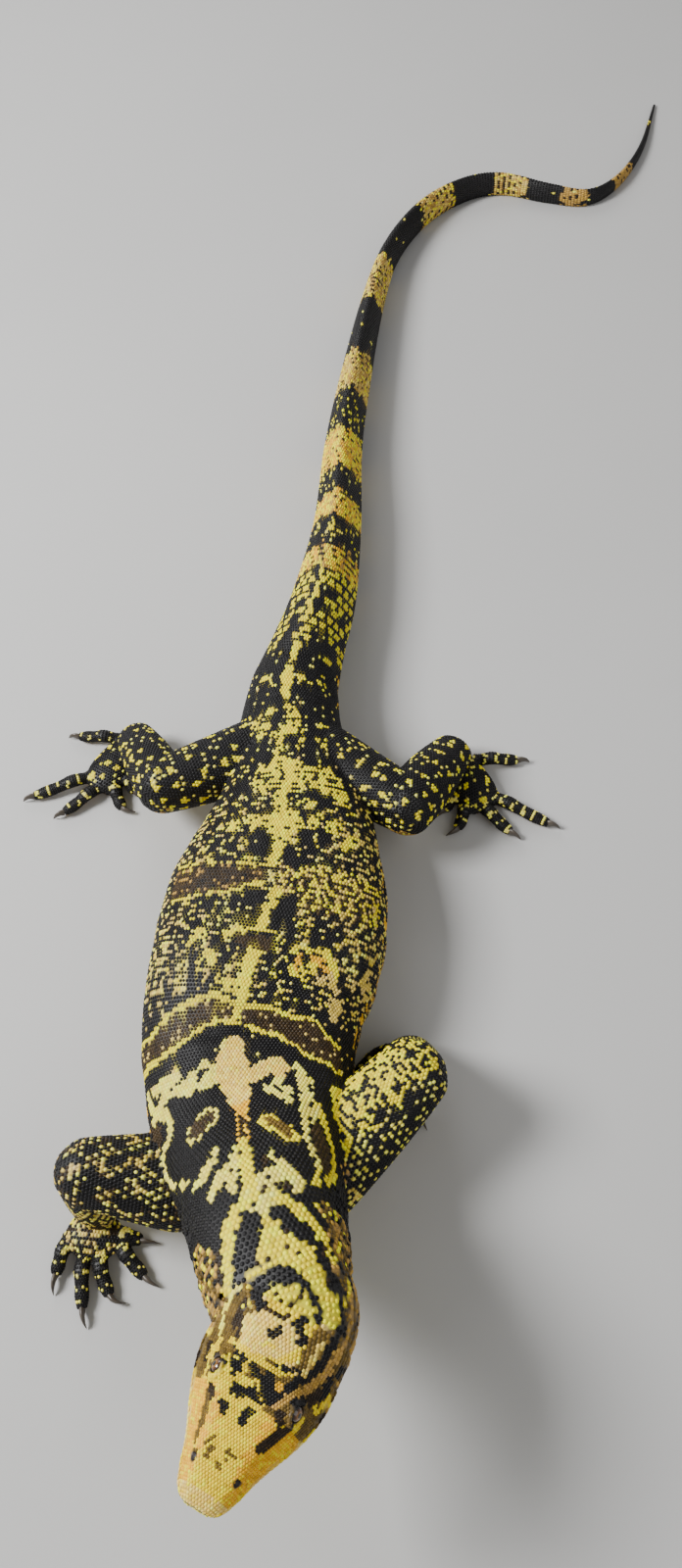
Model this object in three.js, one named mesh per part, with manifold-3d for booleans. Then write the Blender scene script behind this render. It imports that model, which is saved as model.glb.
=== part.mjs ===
// Water monitor lizard, life size, as a still model with its head raised.
// Millimetres, +Z up, the head towards -Y and the tail laid along the floor towards +Y.
// The body is drawn from the middle of the hips, and moved at the end so that the origin
// lies on the floor under the middle of the whole animal.
import * as THREE from 'three';
import { mergeVertices } from 'three/addons/utils/BufferGeometryUtils.js';
import Module from 'manifold-3d';

const wasm = await Module();
wasm.setup();

// Driving dimensions
const gap = 0.3;
const middleOfAnimal = [66, 247];
const headLength = 112;
const headYaw = 22;
const headPitch = 13;
const headRoll = 7;
const snoutTip = [22, -631, 188];
const eyeRadius = 6.2;
const eyePlace = { x: 26, y: 0.64 * headLength, z: 20.5 };
const lidRadius = 6.6;
const lidThickness = 1.6;
const lidStretch = [1.18, 0.88, 1];
const nostril = { place: [16.5, 0.2 * headLength, 14.8], radii: [2.6, 3.6, 2.2] };
const ear = { place: [46, headLength, 6], radii: [4, 3.2, 5.6] };
const mouthGroove = 1.5;
const neckFold = 5;
const crestPitch = 20;
const crestTop = 3.4;
// Fullness of the body's section: 1 is an ellipse and less is squarer
const sideFullness = 0.86;
const topFullness = 0.9;
// Look of each part by the word its name holds: colour and roughness
const looks = {
  claw: [0x2a2522, 0.35],
  eye: [0x24160c, 0.08],
  head: [0xd2ad45, 0.5],
  neck: [0x9a8436, 0.5],
  torso: [0x57492a, 0.5],
  tail: [0x5a4d26, 0.5],
  foot: [0x26231d, 0.5],
  lower: [0x38321f, 0.5],
  upper: [0x332e20, 0.5],
};

// Place of the head: its own +Y runs from the tip of the snout to the back of the skull
const skullEnd = 1.08 * headLength;
const headTurn = new THREE.Matrix4().makeTranslation(...snoutTip);
headTurn.multiply(new THREE.Matrix4().makeRotationZ(THREE.MathUtils.degToRad(-headYaw)));
headTurn.multiply(new THREE.Matrix4().makeRotationX(THREE.MathUtils.degToRad(-headPitch)));
headTurn.multiply(new THREE.Matrix4().makeRotationY(THREE.MathUtils.degToRad(headRoll)));
const headJoint = new THREE.Vector3(0, skullEnd, 0).applyMatrix4(headTurn);
const headAxis = new THREE.Vector3(0, 1, 0).transformDirection(headTurn);
const neckStart = [56, -500, 152, 50, 37, 42];
const insideHead = headAxis.clone().multiplyScalar(-50).add(new THREE.Vector3(...neckStart));

// Stations along the middle of the body: x, y, z, half width, height above, depth below
const spine = [
  [...insideHead, 43, 33, 36],
  [...headJoint, 44, 34, 37],
  neckStart,
  [43, -468, 133, 55, 42, 47],
  [31, -437, 110, 61, 45, 50],
  [20, -405, 88, 69, 46, 53],
  [9, -368, 71, 80, 46, 55],
  [0, -322, 61, 88, 48, 58],
  [-3, -275, 58, 94, 50, 60],
  [3, -218, 56, 101, 53, 58],
  [6, -162, 55, 98, 53, 57],
  [9, -105, 53, 82, 49, 54],
  [6, -50, 49, 63, 44, 49],
  [-2, 2, 46, 52, 42, 44],
  [-5, 60, 44, 45, 41, 44],
  [3, 120, 42, 38.5, 41, 42.5],
  [13, 185, 40, 34.5, 40, 40.5],
  [18, 290, 36, 26.5, 37, 36.5],
  [14, 410, 31, 22, 33, 31.5],
  [18, 525, 27, 19, 30, 27.5],
  [28, 665, 23, 15, 26, 23.5],
  [44, 770, 20, 12.5, 23, 20.5],
  [81, 855, 18, 11, 21, 18.5],
  [132, 908, 16, 10, 19, 16.5],
  [185, 926, 14.5, 9, 17, 15],
  [250, 908, 12.5, 8, 15, 13],
  [302, 902, 10.5, 7, 12.5, 11],
  [343, 940, 8.5, 5.6, 10, 9],
  [378, 1018, 6, 4, 6.5, 6.5],
  [402, 1128, 2.6, 1.6, 2.4, 3],
];
const neckEnd = 5.1;
const tailStart = 14;
const tailEnd = spine.length - 1;
const tailCuts = [0, 2.5, 4.5, 6.5, 9, 12, 15].map((stations) => tailStart + stations);

// Limbs: joints as x, y, z, and girths as half width and half height along each length
const limbs = {
  front_right: {
    root: [-44, -418, 62], bend: [-114, -420, 80], wrist: [-119, -440, 24],
    upper: [[38, 30], [33, 29], [27, 26]], lower: [[26, 24], [24, 19], [20, 12]],
    palm: { at: [-119, -444], heading: -91, length: 24, width: 24, height: 9 },
    digits: [
      { from: [8, 20], heading: 76, length: 20, curl: 6 },
      { from: [15, 21], heading: 42, length: 36, curl: 12 },
      { from: [23, 8], heading: 8, length: 36, curl: 34 },
      { from: [24, -6], heading: 6, length: 44, curl: 8 },
      { from: [17, -21], heading: -14, length: 28, curl: 8 },
    ],
    digitGirth: 6, clawLength: 15, side: 1,
  },
  front_left: {
    root: [58, -412, 62], bend: [136, -325, 80], wrist: [130, -288, 24],
    upper: [[38, 30], [36, 29], [30, 27]], lower: [[27, 25], [23, 19], [18, 12]],
    palm: { at: [122, -292], heading: -128, length: 24, width: 23, height: 9 },
    digits: [
      { from: [10, 17], heading: 4, length: 24, curl: 6 },
      { from: [18, 5], heading: 6, length: 36, curl: 8 },
      { from: [20, -6], heading: -10, length: 40, curl: 6 },
      { from: [16, -14], heading: -26, length: 42, curl: -6 },
      { from: [8, -20], heading: -52, length: 28, curl: -8 },
    ],
    digitGirth: 6, clawLength: 15, side: -1,
  },
  hind_right: {
    root: [-28, -12, 48], bend: [-116, -58, 56], wrist: [-162, 12, 26],
    upper: [[35, 34], [31, 32], [26, 27]], lower: [[26, 27], [25, 24], [19, 15]],
    palm: { at: [-173, 8], heading: -118, length: 46, width: 21, height: 10 },
    digits: [
      { from: [26, 19], heading: 58, length: 18, curl: 10 },
      { from: [38, 14], heading: 34, length: 29, curl: 40 },
      { from: [46, 2], heading: -14, length: 46, curl: -10 },
      { from: [39, -10], heading: -37, length: 66, curl: -2 },
      { from: [-6, -18], heading: -64, length: 42, curl: 0 },
    ],
    digitGirth: 6.2, clawLength: 12, side: 1,
  },
  hind_left: {
    root: [24, -12, 48], bend: [116, -68, 56], wrist: [155, 12, 26],
    upper: [[35, 34], [31, 32], [26, 27]], lower: [[27, 28], [27, 25], [20, 15]],
    palm: { at: [163, 4], heading: -60, length: 46, width: 21, height: 10 },
    digits: [
      { from: [26, 19], heading: 58, length: 18, curl: 10 },
      { from: [38, 14], heading: 30, length: 28, curl: 30 },
      { from: [44, 2], heading: -14, length: 42, curl: -8 },
      { from: [38, -10], heading: -32, length: 66, curl: -6 },
      { from: [0, -20], heading: -64, length: 40, curl: 0 },
    ],
    digitGirth: 6.2, clawLength: 12, side: -1,
  },
};

// Smooth value of every column between numbered stations
function between(rows, at) {
  const i = Math.min(Math.max(Math.floor(at), 0), rows.length - 2);
  const f = at - i;
  const [b, c] = [rows[i], rows[i + 1]];
  const a = rows[i - 1] ?? b.map((value, k) => 2 * value - c[k]);
  const d = rows[i + 2] ?? c.map((value, k) => 2 * value - b[k]);
  return b.map((_, k) => {
    const slope = (c[k] - a[k]) / 2;
    const bend = a[k] - 2.5 * b[k] + 2 * c[k] - d[k] / 2;
    const twist = (d[k] - a[k]) / 2 + 1.5 * (b[k] - c[k]);
    return b[k] + f * (slope + f * (bend + f * twist));
  });
}

// Middle, side and upward directions of the section at a station
function frameAt(rows, at, upHint) {
  const small = 0.01;
  const centre = new THREE.Vector3(...between(rows, at));
  const ahead = new THREE.Vector3(...between(rows, at + small));
  const behind = new THREE.Vector3(...between(rows, at - small));
  const along = ahead.sub(behind);
  const speed = along.length() / (2 * small);
  along.normalize();
  const side = new THREE.Vector3().crossVectors(along, upHint).normalize();
  const up = new THREE.Vector3().crossVectors(side, along);
  return { centre, along, side, up, speed };
}

// A closed solid from rings of points, each ring running the same way round
function solidFromRings(rings) {
  const sides = rings[0].length;
  const points = rings.flat();
  const faces = [];
  for (let i = 0; i + 1 < rings.length; i++) {
    for (let k = 0; k < sides; k++) {
      const a = i * sides + k;
      const b = i * sides + (k + 1) % sides;
      faces.push(a, a + sides, b + sides, a, b + sides, b);
    }
  }
  for (const [ring, start] of [[rings[0], true], [rings.at(-1), false]]) {
    const first = start ? 0 : (rings.length - 1) * sides;
    const middle = points.length;
    const centre = new THREE.Vector3();
    ring.forEach((point) => centre.addScaledVector(point, 1 / sides));
    points.push(centre);
    for (let k = 0; k < sides; k++) {
      const pair = [first + k, first + (k + 1) % sides];
      faces.push(middle, ...(start ? pair : pair.reverse()));
    }
  }
  const vertProperties = new Float32Array(points.flatMap((p) => [p.x, p.y, p.z]));
  return new wasm.Manifold(new wasm.Mesh({ numProp: 3, vertProperties, triVerts: new Uint32Array(faces) }));
}

const round = (value, power) => Math.sign(value) * Math.abs(value) ** power;
const up = new THREE.Vector3(0, 0, 1);

// Body section: fuller than an ellipse, with a loose fold of skin low on each side
function bodyPoint(row, angle, grow, fold = 0) {
  const [, , , width, above, below] = row;
  const across = round(Math.cos(angle), sideFullness);
  const rise = round(Math.sin(angle), topFullness);
  const lowSide = Math.exp(-(((Math.abs(Math.cos(angle)) - 0.86) / 0.13) ** 2)) * (rise < 0 ? 1 : 0);
  const height = rise > 0 ? above : below;
  return [across * (width + grow + fold * lowSide), rise * (height + grow)];
}

// Tail section: narrower towards the top, with a saw-edged crest on every second ring
function tailPoint(row, angle, grow, raised) {
  const [, , , width, above, below] = row;
  const rise = Math.sin(angle);
  const narrow = rise > 0 ? 1 - 0.3 * rise : 1 + 0.12 * rise;
  const crest = rise > 0.99 ? raised : 0;
  const height = rise > 0 ? above + crest : below;
  return [Math.cos(angle) * (width + grow) * narrow, rise * (height + grow)];
}

// Body section passing into tail section behind the hips
function spinePoint(row, angle, grow, at, raised) {
  const fold = at < neckEnd ? neckFold * Math.sin(Math.PI * (at - 1) / (neckEnd - 1)) ** 2 : 0;
  const [bodyX, bodyZ] = bodyPoint(row, angle, grow, fold);
  const [tailX, tailZ] = tailPoint(row, angle, grow, raised);
  const share = THREE.MathUtils.smoothstep(at, tailStart - 1.5, tailStart + 2);
  return [THREE.MathUtils.lerp(bodyX, tailX, share), THREE.MathUtils.lerp(bodyZ, tailZ, share)];
}

// Rings from one station to another, kept off the floor's far side
function loft(rows, from, to, count, sides, point, { grow = 0, hint = up, floor = true } = {}) {
  const rings = [];
  for (let i = 0; i <= count; i++) {
    const at = from + (to - from) * i / count;
    const row = between(rows, at);
    const frame = frameAt(rows, at, hint);
    const end = i === 0 ? -grow : i === count ? grow : 0;
    const ring = [];
    for (let k = 0; k < sides; k++) {
      const [x, z] = point(row, 2 * Math.PI * k / sides, grow, at, i);
      const place = frame.centre.clone().addScaledVector(frame.side, x).addScaledVector(frame.up, z);
      place.addScaledVector(frame.along, end);
      if (floor) place.z = Math.max(place.z, 0);
      ring.push(place);
    }
    rings.push(ring);
  }
  return solidFromRings(rings);
}

// Half a gap, measured in stations
const halfGap = (rows, at) => gap / 2 / frameAt(rows, at, up).speed;
const nodes = {};

// Neck and trunk, parted by a thin cut, and the space kept clear around them
const trunkSection = (row, angle, grow, at) => spinePoint(row, angle, grow, at, 0);
const spineGap = (at) => halfGap(spine, at);
const neckLoft = (grow) => loft(spine, 1, neckEnd - spineGap(neckEnd), 11, 24, trunkSection, { grow });
const torsoLoft = (grow) => {
  const [from, to] = [neckEnd + spineGap(neckEnd), tailStart - spineGap(tailStart)];
  return loft(spine, from, to, 22, 26, trunkSection, { grow });
};
nodes.neck = neckLoft(0).trimByPlane(headAxis.toArray(), headAxis.dot(headJoint) + gap);
nodes.torso = torsoLoft(0);
const aroundTrunk = neckLoft(gap).add(torsoLoft(gap));

// Tail in six lengths, with a saw-edged crest along its top, highest half way along
const crestShare = (at) => (at - tailStart + 2) / (tailEnd - tailStart + 2);
const crestHeight = (at) => crestTop * Math.sin(Math.PI * crestShare(at)) ** 0.7;
const tailSection = (row, angle, grow, at, i) => {
  return spinePoint(row, angle, grow, at, i % 2 ? crestHeight(at) : 0);
};
for (let i = 0; i + 1 < tailCuts.length; i++) {
  const [from, to] = [tailCuts[i], tailCuts[i + 1]];
  const end = to < tailEnd ? to - spineGap(to) : to;
  let length = 0;
  for (let at = from; at < to; at += 0.05) length += 0.05 * frameAt(spine, at, up).speed;
  const rings = 2 * Math.max(Math.round(length / crestPitch), 2);
  const sides = i < 2 ? 12 : 8;
  nodes[`tail_${i + 1}`] = loft(spine, from + spineGap(from), end, rings, sides, tailSection);
}

// Limb lengths: rounded at both ends and bulging between
function limbRows(a, b, girths) {
  const [start, end] = [new THREE.Vector3(...a), new THREE.Vector3(...b)];
  const length = start.distanceTo(end);
  const along = end.clone().sub(start).normalize();
  const [first, middle, last] = girths;
  const shape = [
    [-0.9 * first[1], 0.42 * first[0], 0.42 * first[1]],
    [-0.5 * first[1], 0.84 * first[0], 0.84 * first[1]],
    [0, first[0], first[1]],
    [0.5 * length, middle[0], middle[1]],
    [length, last[0], last[1]],
    [length + 0.5 * last[1], 0.84 * last[0], 0.84 * last[1]],
    [length + 0.9 * last[1], 0.42 * last[0], 0.42 * last[1]],
  ];
  return shape.map(([at, w, h]) => [...start.clone().addScaledVector(along, at), w, h, h]);
}

const limbPoint = (row, angle, grow) => {
  return [Math.cos(angle) * (row[3] + grow), Math.sin(angle) * (row[4] + grow)];
};

// A foot: a flat palm with five spread toes, each ending in its own claw
function toePath(limb, toe) {
  const { palm, side, digitGirth: girth, clawLength } = limb;
  const heading = THREE.MathUtils.degToRad(palm.heading);
  const ahead = new THREE.Vector2(Math.cos(heading), Math.sin(heading));
  const across = new THREE.Vector2(-ahead.y, ahead.x).multiplyScalar(side);
  const start = new THREE.Vector2(...palm.at);
  start.addScaledVector(ahead, toe.from[0]).addScaledVector(across, toe.from[1]);
  const turned = (degrees) => {
    const angle = THREE.MathUtils.degToRad(degrees);
    return ahead.clone().multiplyScalar(Math.cos(angle)).addScaledVector(across, Math.sin(angle));
  };
  const arch = [0.95, 1.3, 1.75, 1.35, 1.1, 0.95];
  const thick = [1.15, 1.0, 1.1, 0.95, 1.0, 0.72];
  const rows = [];
  const place = start.clone().addScaledVector(turned(toe.heading), -0.5 * girth);
  arch.forEach((rise, i) => {
    const bit = thick[i] * girth;
    rows.push([place.x, place.y, rise * girth, bit, 0.92 * bit, 0.92 * bit]);
    place.addScaledVector(turned(toe.heading + toe.curl * i / 5), (toe.length + 0.5 * girth) / 5);
  });
  const clawRows = [];
  const tip = rows.at(-1);
  place.set(tip[0], tip[1]);
  const clawGirth = 0.8 * girth;
  const clawShape = [[0, 0.62, 0.95, 0.95], [0.3, 0.5, 1.15, 0.85], [0.65, 0.34, 0.95, 0.6]];
  clawShape.push([1, 0.12, 0.22, 0.16]);
  for (const [at, width, rise, height] of clawShape) {
    const way = turned(toe.heading + toe.curl * (1 + at));
    const point = place.clone().addScaledVector(way, at * clawLength);
    const half = height * clawGirth;
    clawRows.push([point.x, point.y, rise * girth, width * clawGirth, half, half]);
  }
  return { rows, clawRows };
}

for (const [name, limb] of Object.entries(limbs)) {
  const upperRows = limbRows(limb.root, limb.bend, limb.upper);
  const lowerRows = limbRows(limb.bend, limb.wrist, limb.lower);
  const upper = loft(upperRows, 0, 6, 10, 12, limbPoint);
  const upperClear = loft(upperRows, 0, 6, 10, 12, limbPoint, { grow: gap });
  const lower = loft(lowerRows, 0, 6, 10, 12, limbPoint);
  const lowerClear = loft(lowerRows, 0, 6, 10, 12, limbPoint, { grow: gap });
  nodes[`${name}_upper`] = upper.subtract(aroundTrunk);
  nodes[`${name}_lower`] = lower.subtract(upperClear).subtract(aroundTrunk);

  const { palm, digitGirth } = limb;
  const heading = THREE.MathUtils.degToRad(palm.heading);
  const ahead = [Math.cos(heading), Math.sin(heading)];
  const palmShape = [[-0.3, 0.5, 0.9], [0, 0.8, 1], [0.5, 1, 1], [0.9, 0.95, 0.85], [1.12, 0.6, 0.6]];
  const palmRows = palmShape.map(([at, width, height]) => [
    palm.at[0] + ahead[0] * at * palm.length, palm.at[1] + ahead[1] * at * palm.length,
    height * palm.height, width * palm.width, height * palm.height + 1, height * palm.height + 1,
  ]);
  const toes = limb.digits.map((toe) => toePath(limb, toe));
  const footShape = (grow) => {
    const palmPart = loft(palmRows, 0, palmRows.length - 1, 6, 12, limbPoint, { grow });
    const toeParts = toes.map(({ rows }) => loft(rows, 0, 5, 8, 7, limbPoint, { grow }));
    return toeParts.reduce((shape, toePart) => shape.add(toePart), palmPart);
  };
  const foot = footShape(0).subtract(lowerClear).subtract(upperClear);
  nodes[`${name}_foot`] = foot.subtract(aroundTrunk);
  const aroundFoot = footShape(gap);
  toes.forEach(({ clawRows }, i) => {
    const claw = loft(clawRows, 0, 3, 4, 6, limbPoint);
    nodes[`${name}_claw_${i + 1}`] = claw.subtract(aroundFoot);
  });
}

// Head: sections from the tip of the snout to the back of the skull, as fractions of its length
// place, lip half width, brow half width, crown height, brow height, chin depth, chin half width
const headSections = [
  [0.0, 6, 4, 4, 3, -4, 3],
  [0.02, 12.5, 8.2, 8, 6.5, -6.5, 7],
  [0.07, 17.5, 11.5, 13, 11, -8.5, 10],
  [0.15, 21.5, 14.5, 17, 14.5, -12.5, 13],
  [0.3, 27.5, 17, 20, 17.5, -18, 17],
  [0.48, 37, 19.5, 24, 22.5, -24, 21],
  [0.62, 43, 25, 28.5, 27.5, -29, 25],
  [0.74, 46, 23.5, 30.5, 26.5, -32, 29],
  [0.87, 46.5, 25, 32, 27, -34, 32],
  [1.0, 45.5, 28, 33, 27, -36, 34],
  [1.08, 44, 30, 34, 27, -37, 34],
];
function headPoint(row, j, rear) {
  const [, lip, brow, crown, browHeight, chin, chinHalf] = row;
  const mix = THREE.MathUtils.lerp;
  const groove = mouthGroove * (1 - rear);
  const outline = [
    [0, crown],
    [0.42 * brow, crown - 0.3],
    [0.8 * brow, mix(crown, browHeight, 0.4)],
    [brow, browHeight],
    [mix(brow, lip, 0.38), mix(browHeight, 3, 0.34)],
    [mix(brow, lip, 0.75), mix(browHeight, 3, 0.7)],
    [lip, 3],
    [lip - 0.3, 1.1],
    [lip - groove, 0.2],
    [lip - 0.9, -1],
    [lip - 1.2, -3.6],
    [mix(lip, chinHalf, 0.2), mix(-3.6, chin, 0.5)],
    [chinHalf, 0.88 * chin],
    [0.5 * chinHalf, chin],
    [0, chin],
  ];
  const angle = Math.PI / 2 - Math.PI * j / 14;
  const round = bodyPoint([0, 0, 0, 46, 34, 37], angle, 0);
  return outline[j].map((value, k) => mix(value, round[k], rear));
}

const snoutPlaces = [0, 0.008, 0.02, 0.04, 0.07, 0.11, 0.15, 0.2];
const skullPlaces = [0.26, 0.32, 0.38, 0.44, 0.5, 0.56, 0.62, 0.68, 0.76, 0.84, 0.92, 1.0, 1.08];
function headSectionAt(place) {
  let i = 0;
  while (i + 2 < headSections.length && headSections[i + 1][0] < place) i++;
  const f = (place - headSections[i][0]) / (headSections[i + 1][0] - headSections[i][0]);
  return between(headSections, i + f);
}
const headRings = [...snoutPlaces, ...skullPlaces].map((place) => {
  const row = headSectionAt(place);
  const rear = THREE.MathUtils.smoothstep(place, 0.78, 1.08);
  const ring = [];
  for (let k = 0; k < 28; k++) {
    const j = k <= 14 ? k : 28 - k;
    const [x, z] = headPoint(row, j, rear);
    ring.push(new THREE.Vector3(k <= 14 ? x : -x, place * headLength, z).applyMatrix4(headTurn));
  }
  return ring.reverse();
});
nodes.head = solidFromRings(headRings);

// A closed solid from one of the ready-made shapes, placed in the head
function solidInHead(shape, place) {
  shape.deleteAttribute('normal');
  shape.deleteAttribute('uv');
  const merged = mergeVertices(shape.applyMatrix4(place).applyMatrix4(headTurn), 0.001);
  const vertProperties = merged.attributes.position.array;
  return new wasm.Manifold(new wasm.Mesh({ numProp: 3, vertProperties, triVerts: merged.index.array }));
}
const ball = (sides = 12) => new THREE.SphereGeometry(1, sides, Math.round(sides * 2 / 3));
const oval = (centre, radii) => {
  return new THREE.Matrix4().makeTranslation(...centre).scale(new THREE.Vector3(...radii));
};

for (const [name, side] of [['left', 1], ['right', -1]]) {
  // Eye in its socket, ringed by raised lids that leave an almond-shaped opening
  const outward = new THREE.Vector3(0.84 * side, -0.1, 0.54).normalize();
  const eye = new THREE.Vector3(eyePlace.x * side, eyePlace.y, eyePlace.z);
  const lidRing = new THREE.TorusGeometry(lidRadius, lidThickness, 6, 14);
  const turn = new THREE.Matrix4().lookAt(outward, new THREE.Vector3(), up);
  const lidPlace = eye.clone().addScaledVector(outward, 0.6 * eyeRadius);
  const lid = new THREE.Matrix4().makeTranslation(lidPlace).multiply(turn);
  lid.scale(new THREE.Vector3(...lidStretch));
  nodes.head = nodes.head.add(solidInHead(lidRing, lid));
  const socket = oval(eye, Array(3).fill(eyeRadius + gap));
  nodes.head = nodes.head.subtract(solidInHead(ball(12), socket));
  nodes[`eye_${name}`] = solidInHead(ball(12), oval(eye, Array(3).fill(eyeRadius)));
  // Nostril pit high on the side of the snout, and the upright ear opening behind the jaw
  for (const { place: [x, y, z], radii } of [nostril, ear]) {
    nodes.head = nodes.head.subtract(solidInHead(ball(8), oval([x * side, y, z], radii)));
  }
}

// Each part as a mesh of its largest closed surface, round the middle of the animal
const animal = new THREE.Group();
animal.position.set(-middleOfAnimal[0], -middleOfAnimal[1], 0);
for (const [name, solid] of Object.entries(nodes)) {
  const pieces = solid.decompose().sort((a, b) => b.volume() - a.volume());
  const surface = pieces[0].getMesh();
  const geometry = new THREE.BufferGeometry();
  geometry.setAttribute('position', new THREE.Float32BufferAttribute(surface.vertProperties, 3));
  geometry.setIndex(new THREE.Uint32BufferAttribute(surface.triVerts, 1));
  const [, [color, roughness]] = Object.entries(looks).find(([word]) => name.includes(word));
  const mesh = new THREE.Mesh(geometry, new THREE.MeshStandardMaterial({ color, roughness, metalness: 0 }));
  mesh.name = name;
  animal.add(mesh);
}

export default animal;
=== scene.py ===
# Water monitor lizard, life size, lying on a plain floor with its head raised.
# Metres in the finished pieces; the shapes are worked out in millimetres, head towards -Y.
import math
import bpy
import numpy as np
from mathutils import Matrix, Vector
from mathutils.bvhtree import BVHTree
from mathutils.kdtree import KDTree


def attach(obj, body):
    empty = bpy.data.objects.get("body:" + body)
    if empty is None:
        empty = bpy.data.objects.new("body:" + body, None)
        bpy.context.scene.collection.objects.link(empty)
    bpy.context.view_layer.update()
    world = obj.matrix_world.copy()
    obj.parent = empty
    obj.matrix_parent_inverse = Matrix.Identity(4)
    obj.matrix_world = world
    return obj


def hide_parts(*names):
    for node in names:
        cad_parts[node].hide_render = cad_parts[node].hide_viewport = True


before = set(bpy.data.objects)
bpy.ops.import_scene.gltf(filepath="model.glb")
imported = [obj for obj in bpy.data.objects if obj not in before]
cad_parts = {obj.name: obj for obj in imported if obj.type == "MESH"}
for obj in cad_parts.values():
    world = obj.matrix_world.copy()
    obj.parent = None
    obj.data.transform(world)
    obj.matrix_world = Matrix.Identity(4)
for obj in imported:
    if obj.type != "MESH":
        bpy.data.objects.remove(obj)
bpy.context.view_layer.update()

# Camera: held a metre above the floor in front of the animal's head, looking steeply down
# along its back, and leaning a little to one side.
camera = bpy.data.objects.new("camera", bpy.data.cameras.new("camera"))
camera.data.lens = 27.05
camera.data.clip_start = 0.05
standing_at = (0.094, -0.837, 1.018)
looking_down, heading, leaning = math.radians(60.107), math.radians(11.2), math.radians(-7.231)
camera.matrix_world = (
    Matrix.Translation(standing_at)
    @ Matrix.Rotation(heading, 4, "Z")
    @ Matrix.Rotation(math.pi / 2 - looking_down, 4, "X")
    @ Matrix.Rotation(leaning, 4, "Z")
)
bpy.context.collection.objects.link(camera)
bpy.context.scene.camera = camera


# Floor: a plain pale studio floor, wide enough to fill every view. It is matt, with a faint
# unevenness of tone, and the animal lies on it with nothing else.
class Wire:
    """A number, colour or vector on its way through a material's nodes."""

    def __init__(self, tree, socket=None):
        self.tree, self.socket = tree, socket

    def plug(self, node, values):
        """Fills the sockets of a node with wires or plain values."""
        for name, value in dict(values).items():
            if isinstance(value, Wire):
                self.tree.links.new(value.socket, node.inputs[name])
            else:
                node.inputs[name].default_value = value

    def node(self, kind, settings=(), sockets=(), out=0):
        """The output of a new node, which is set first and then plugged."""
        made = self.tree.nodes.new(kind)
        for name, value in dict(settings).items():
            setattr(made, name, value)
        self.plug(made, sockets)
        return Wire(self.tree, made.outputs[out] if made.outputs else None)

    def maths(self, operation, *values):
        return self.node("ShaderNodeMath", {"operation": operation}, enumerate(values))

    def __add__(self, other):
        return self.maths("ADD", self, other)

    def __sub__(self, other):
        return self.maths("SUBTRACT", self, other)

    def __mul__(self, other):
        return self.maths("MULTIPLY", self, other)

    def __rsub__(self, other):
        return self.maths("SUBTRACT", other, self)

    __radd__, __rmul__ = __add__, __mul__

    def between(self, low, high):
        """Colour from low to high as this number goes from 0 to 1."""
        return self.node("ShaderNodeMix", {"data_type": "RGBA"}, {0: self, 6: low, 7: high}, out=2)

    def noise(self, size, detail=3.0):
        """Soft noise from 0 to 1 whose patches are about size metres across."""
        place = self.node("ShaderNodeTexCoord", out=3)
        return self.node("ShaderNodeTexNoise", (), {"Vector": place, "Scale": 1 / size, "Detail": detail})


def material(name, make):
    """A material whose surface gets the sockets that make(start) returns."""
    made = bpy.data.materials.new(name)
    made.use_nodes = True
    start = Wire(made.node_tree)
    start.plug(made.node_tree.nodes["Principled BSDF"], make(start))
    return made


def bump(start, height, depth):
    """Surface direction from a height of 0 to 1 that stands for depth metres."""
    return start.node("ShaderNodeBump", (), {"Height": height, "Distance": depth})


def floor_finish(start):
    tone = start.noise(0.4).between((0.44, 0.437, 0.43, 1), (0.48, 0.477, 0.47, 1))
    return {"Base Color": tone, "Roughness": 0.75, "Specular IOR Level": 0.3}


def mesh_piece(name, points, faces=(), finish=None):
    """An object at the origin from points in metres and faces, smoothly shaded."""
    faces = faces.tolist() if isinstance(faces, np.ndarray) else list(faces)
    mesh = bpy.data.meshes.new(name)
    mesh.from_pydata(np.asarray(points).tolist(), [], faces)
    mesh.polygons.foreach_set("use_smooth", [True] * len(mesh.polygons))
    piece = bpy.data.objects.new(name, mesh)
    bpy.context.collection.objects.link(piece)
    if finish:
        mesh.materials.append(finish)
    return piece


floor_half = 60.0
floor_corners = [(x * floor_half, y * floor_half, 0) for x, y in ((-1, -1), (1, -1), (1, 1), (-1, 1))]
studio_floor = mesh_piece("studio_floor", floor_corners, [(0, 1, 2, 3)], material("floor", floor_finish))


# Lights: one large soft panel high on the animal's right, a wider and weaker one on its left,
# a third behind the tail, and an even pale surround.
for name, place, size, power in (
    ("key_light", (-1.9, -0.4, 1.9), 0.9, 128),
    ("fill_light", (1.9, -1.2, 2.0), 2.4, 22),
    ("rear_light", (-1.2, 2.3, 1.6), 1.4, 30),
):
    light = bpy.data.objects.new(name, bpy.data.lights.new(name, "AREA"))
    light.data.size, light.data.energy = size, power
    light.location = place
    light.rotation_euler = (-Vector(place)).to_track_quat("-Z", "Y").to_euler()
    bpy.context.collection.objects.link(light)
world = bpy.context.scene.world or bpy.data.worlds.new("surround")
bpy.context.scene.world = world
world.use_nodes = True
surround = {"Color": (1.0, 0.99, 0.97, 1), "Strength": 0.34}
Wire(world.node_tree).plug(world.node_tree.nodes["Background"], surround)


# Forms of the flesh: neck, trunk and tail along one bent spine, the head ahead of them and
# four legs with five-toed feet. Each is a smooth closed form a hair inside the hard model,
# by the depth of the scales that lie on it.
skin_depth = 0.4
floor_gap = 0.3
middle = np.array([66.0, 247.0, 0.0])
head_length, skull_end = 112.0, 1.08
snout_tip = np.array([22.0, -631.0, 188.0])


def rotation(axis, degrees):
    return np.array(Matrix.Rotation(math.radians(degrees), 3, axis))


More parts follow.
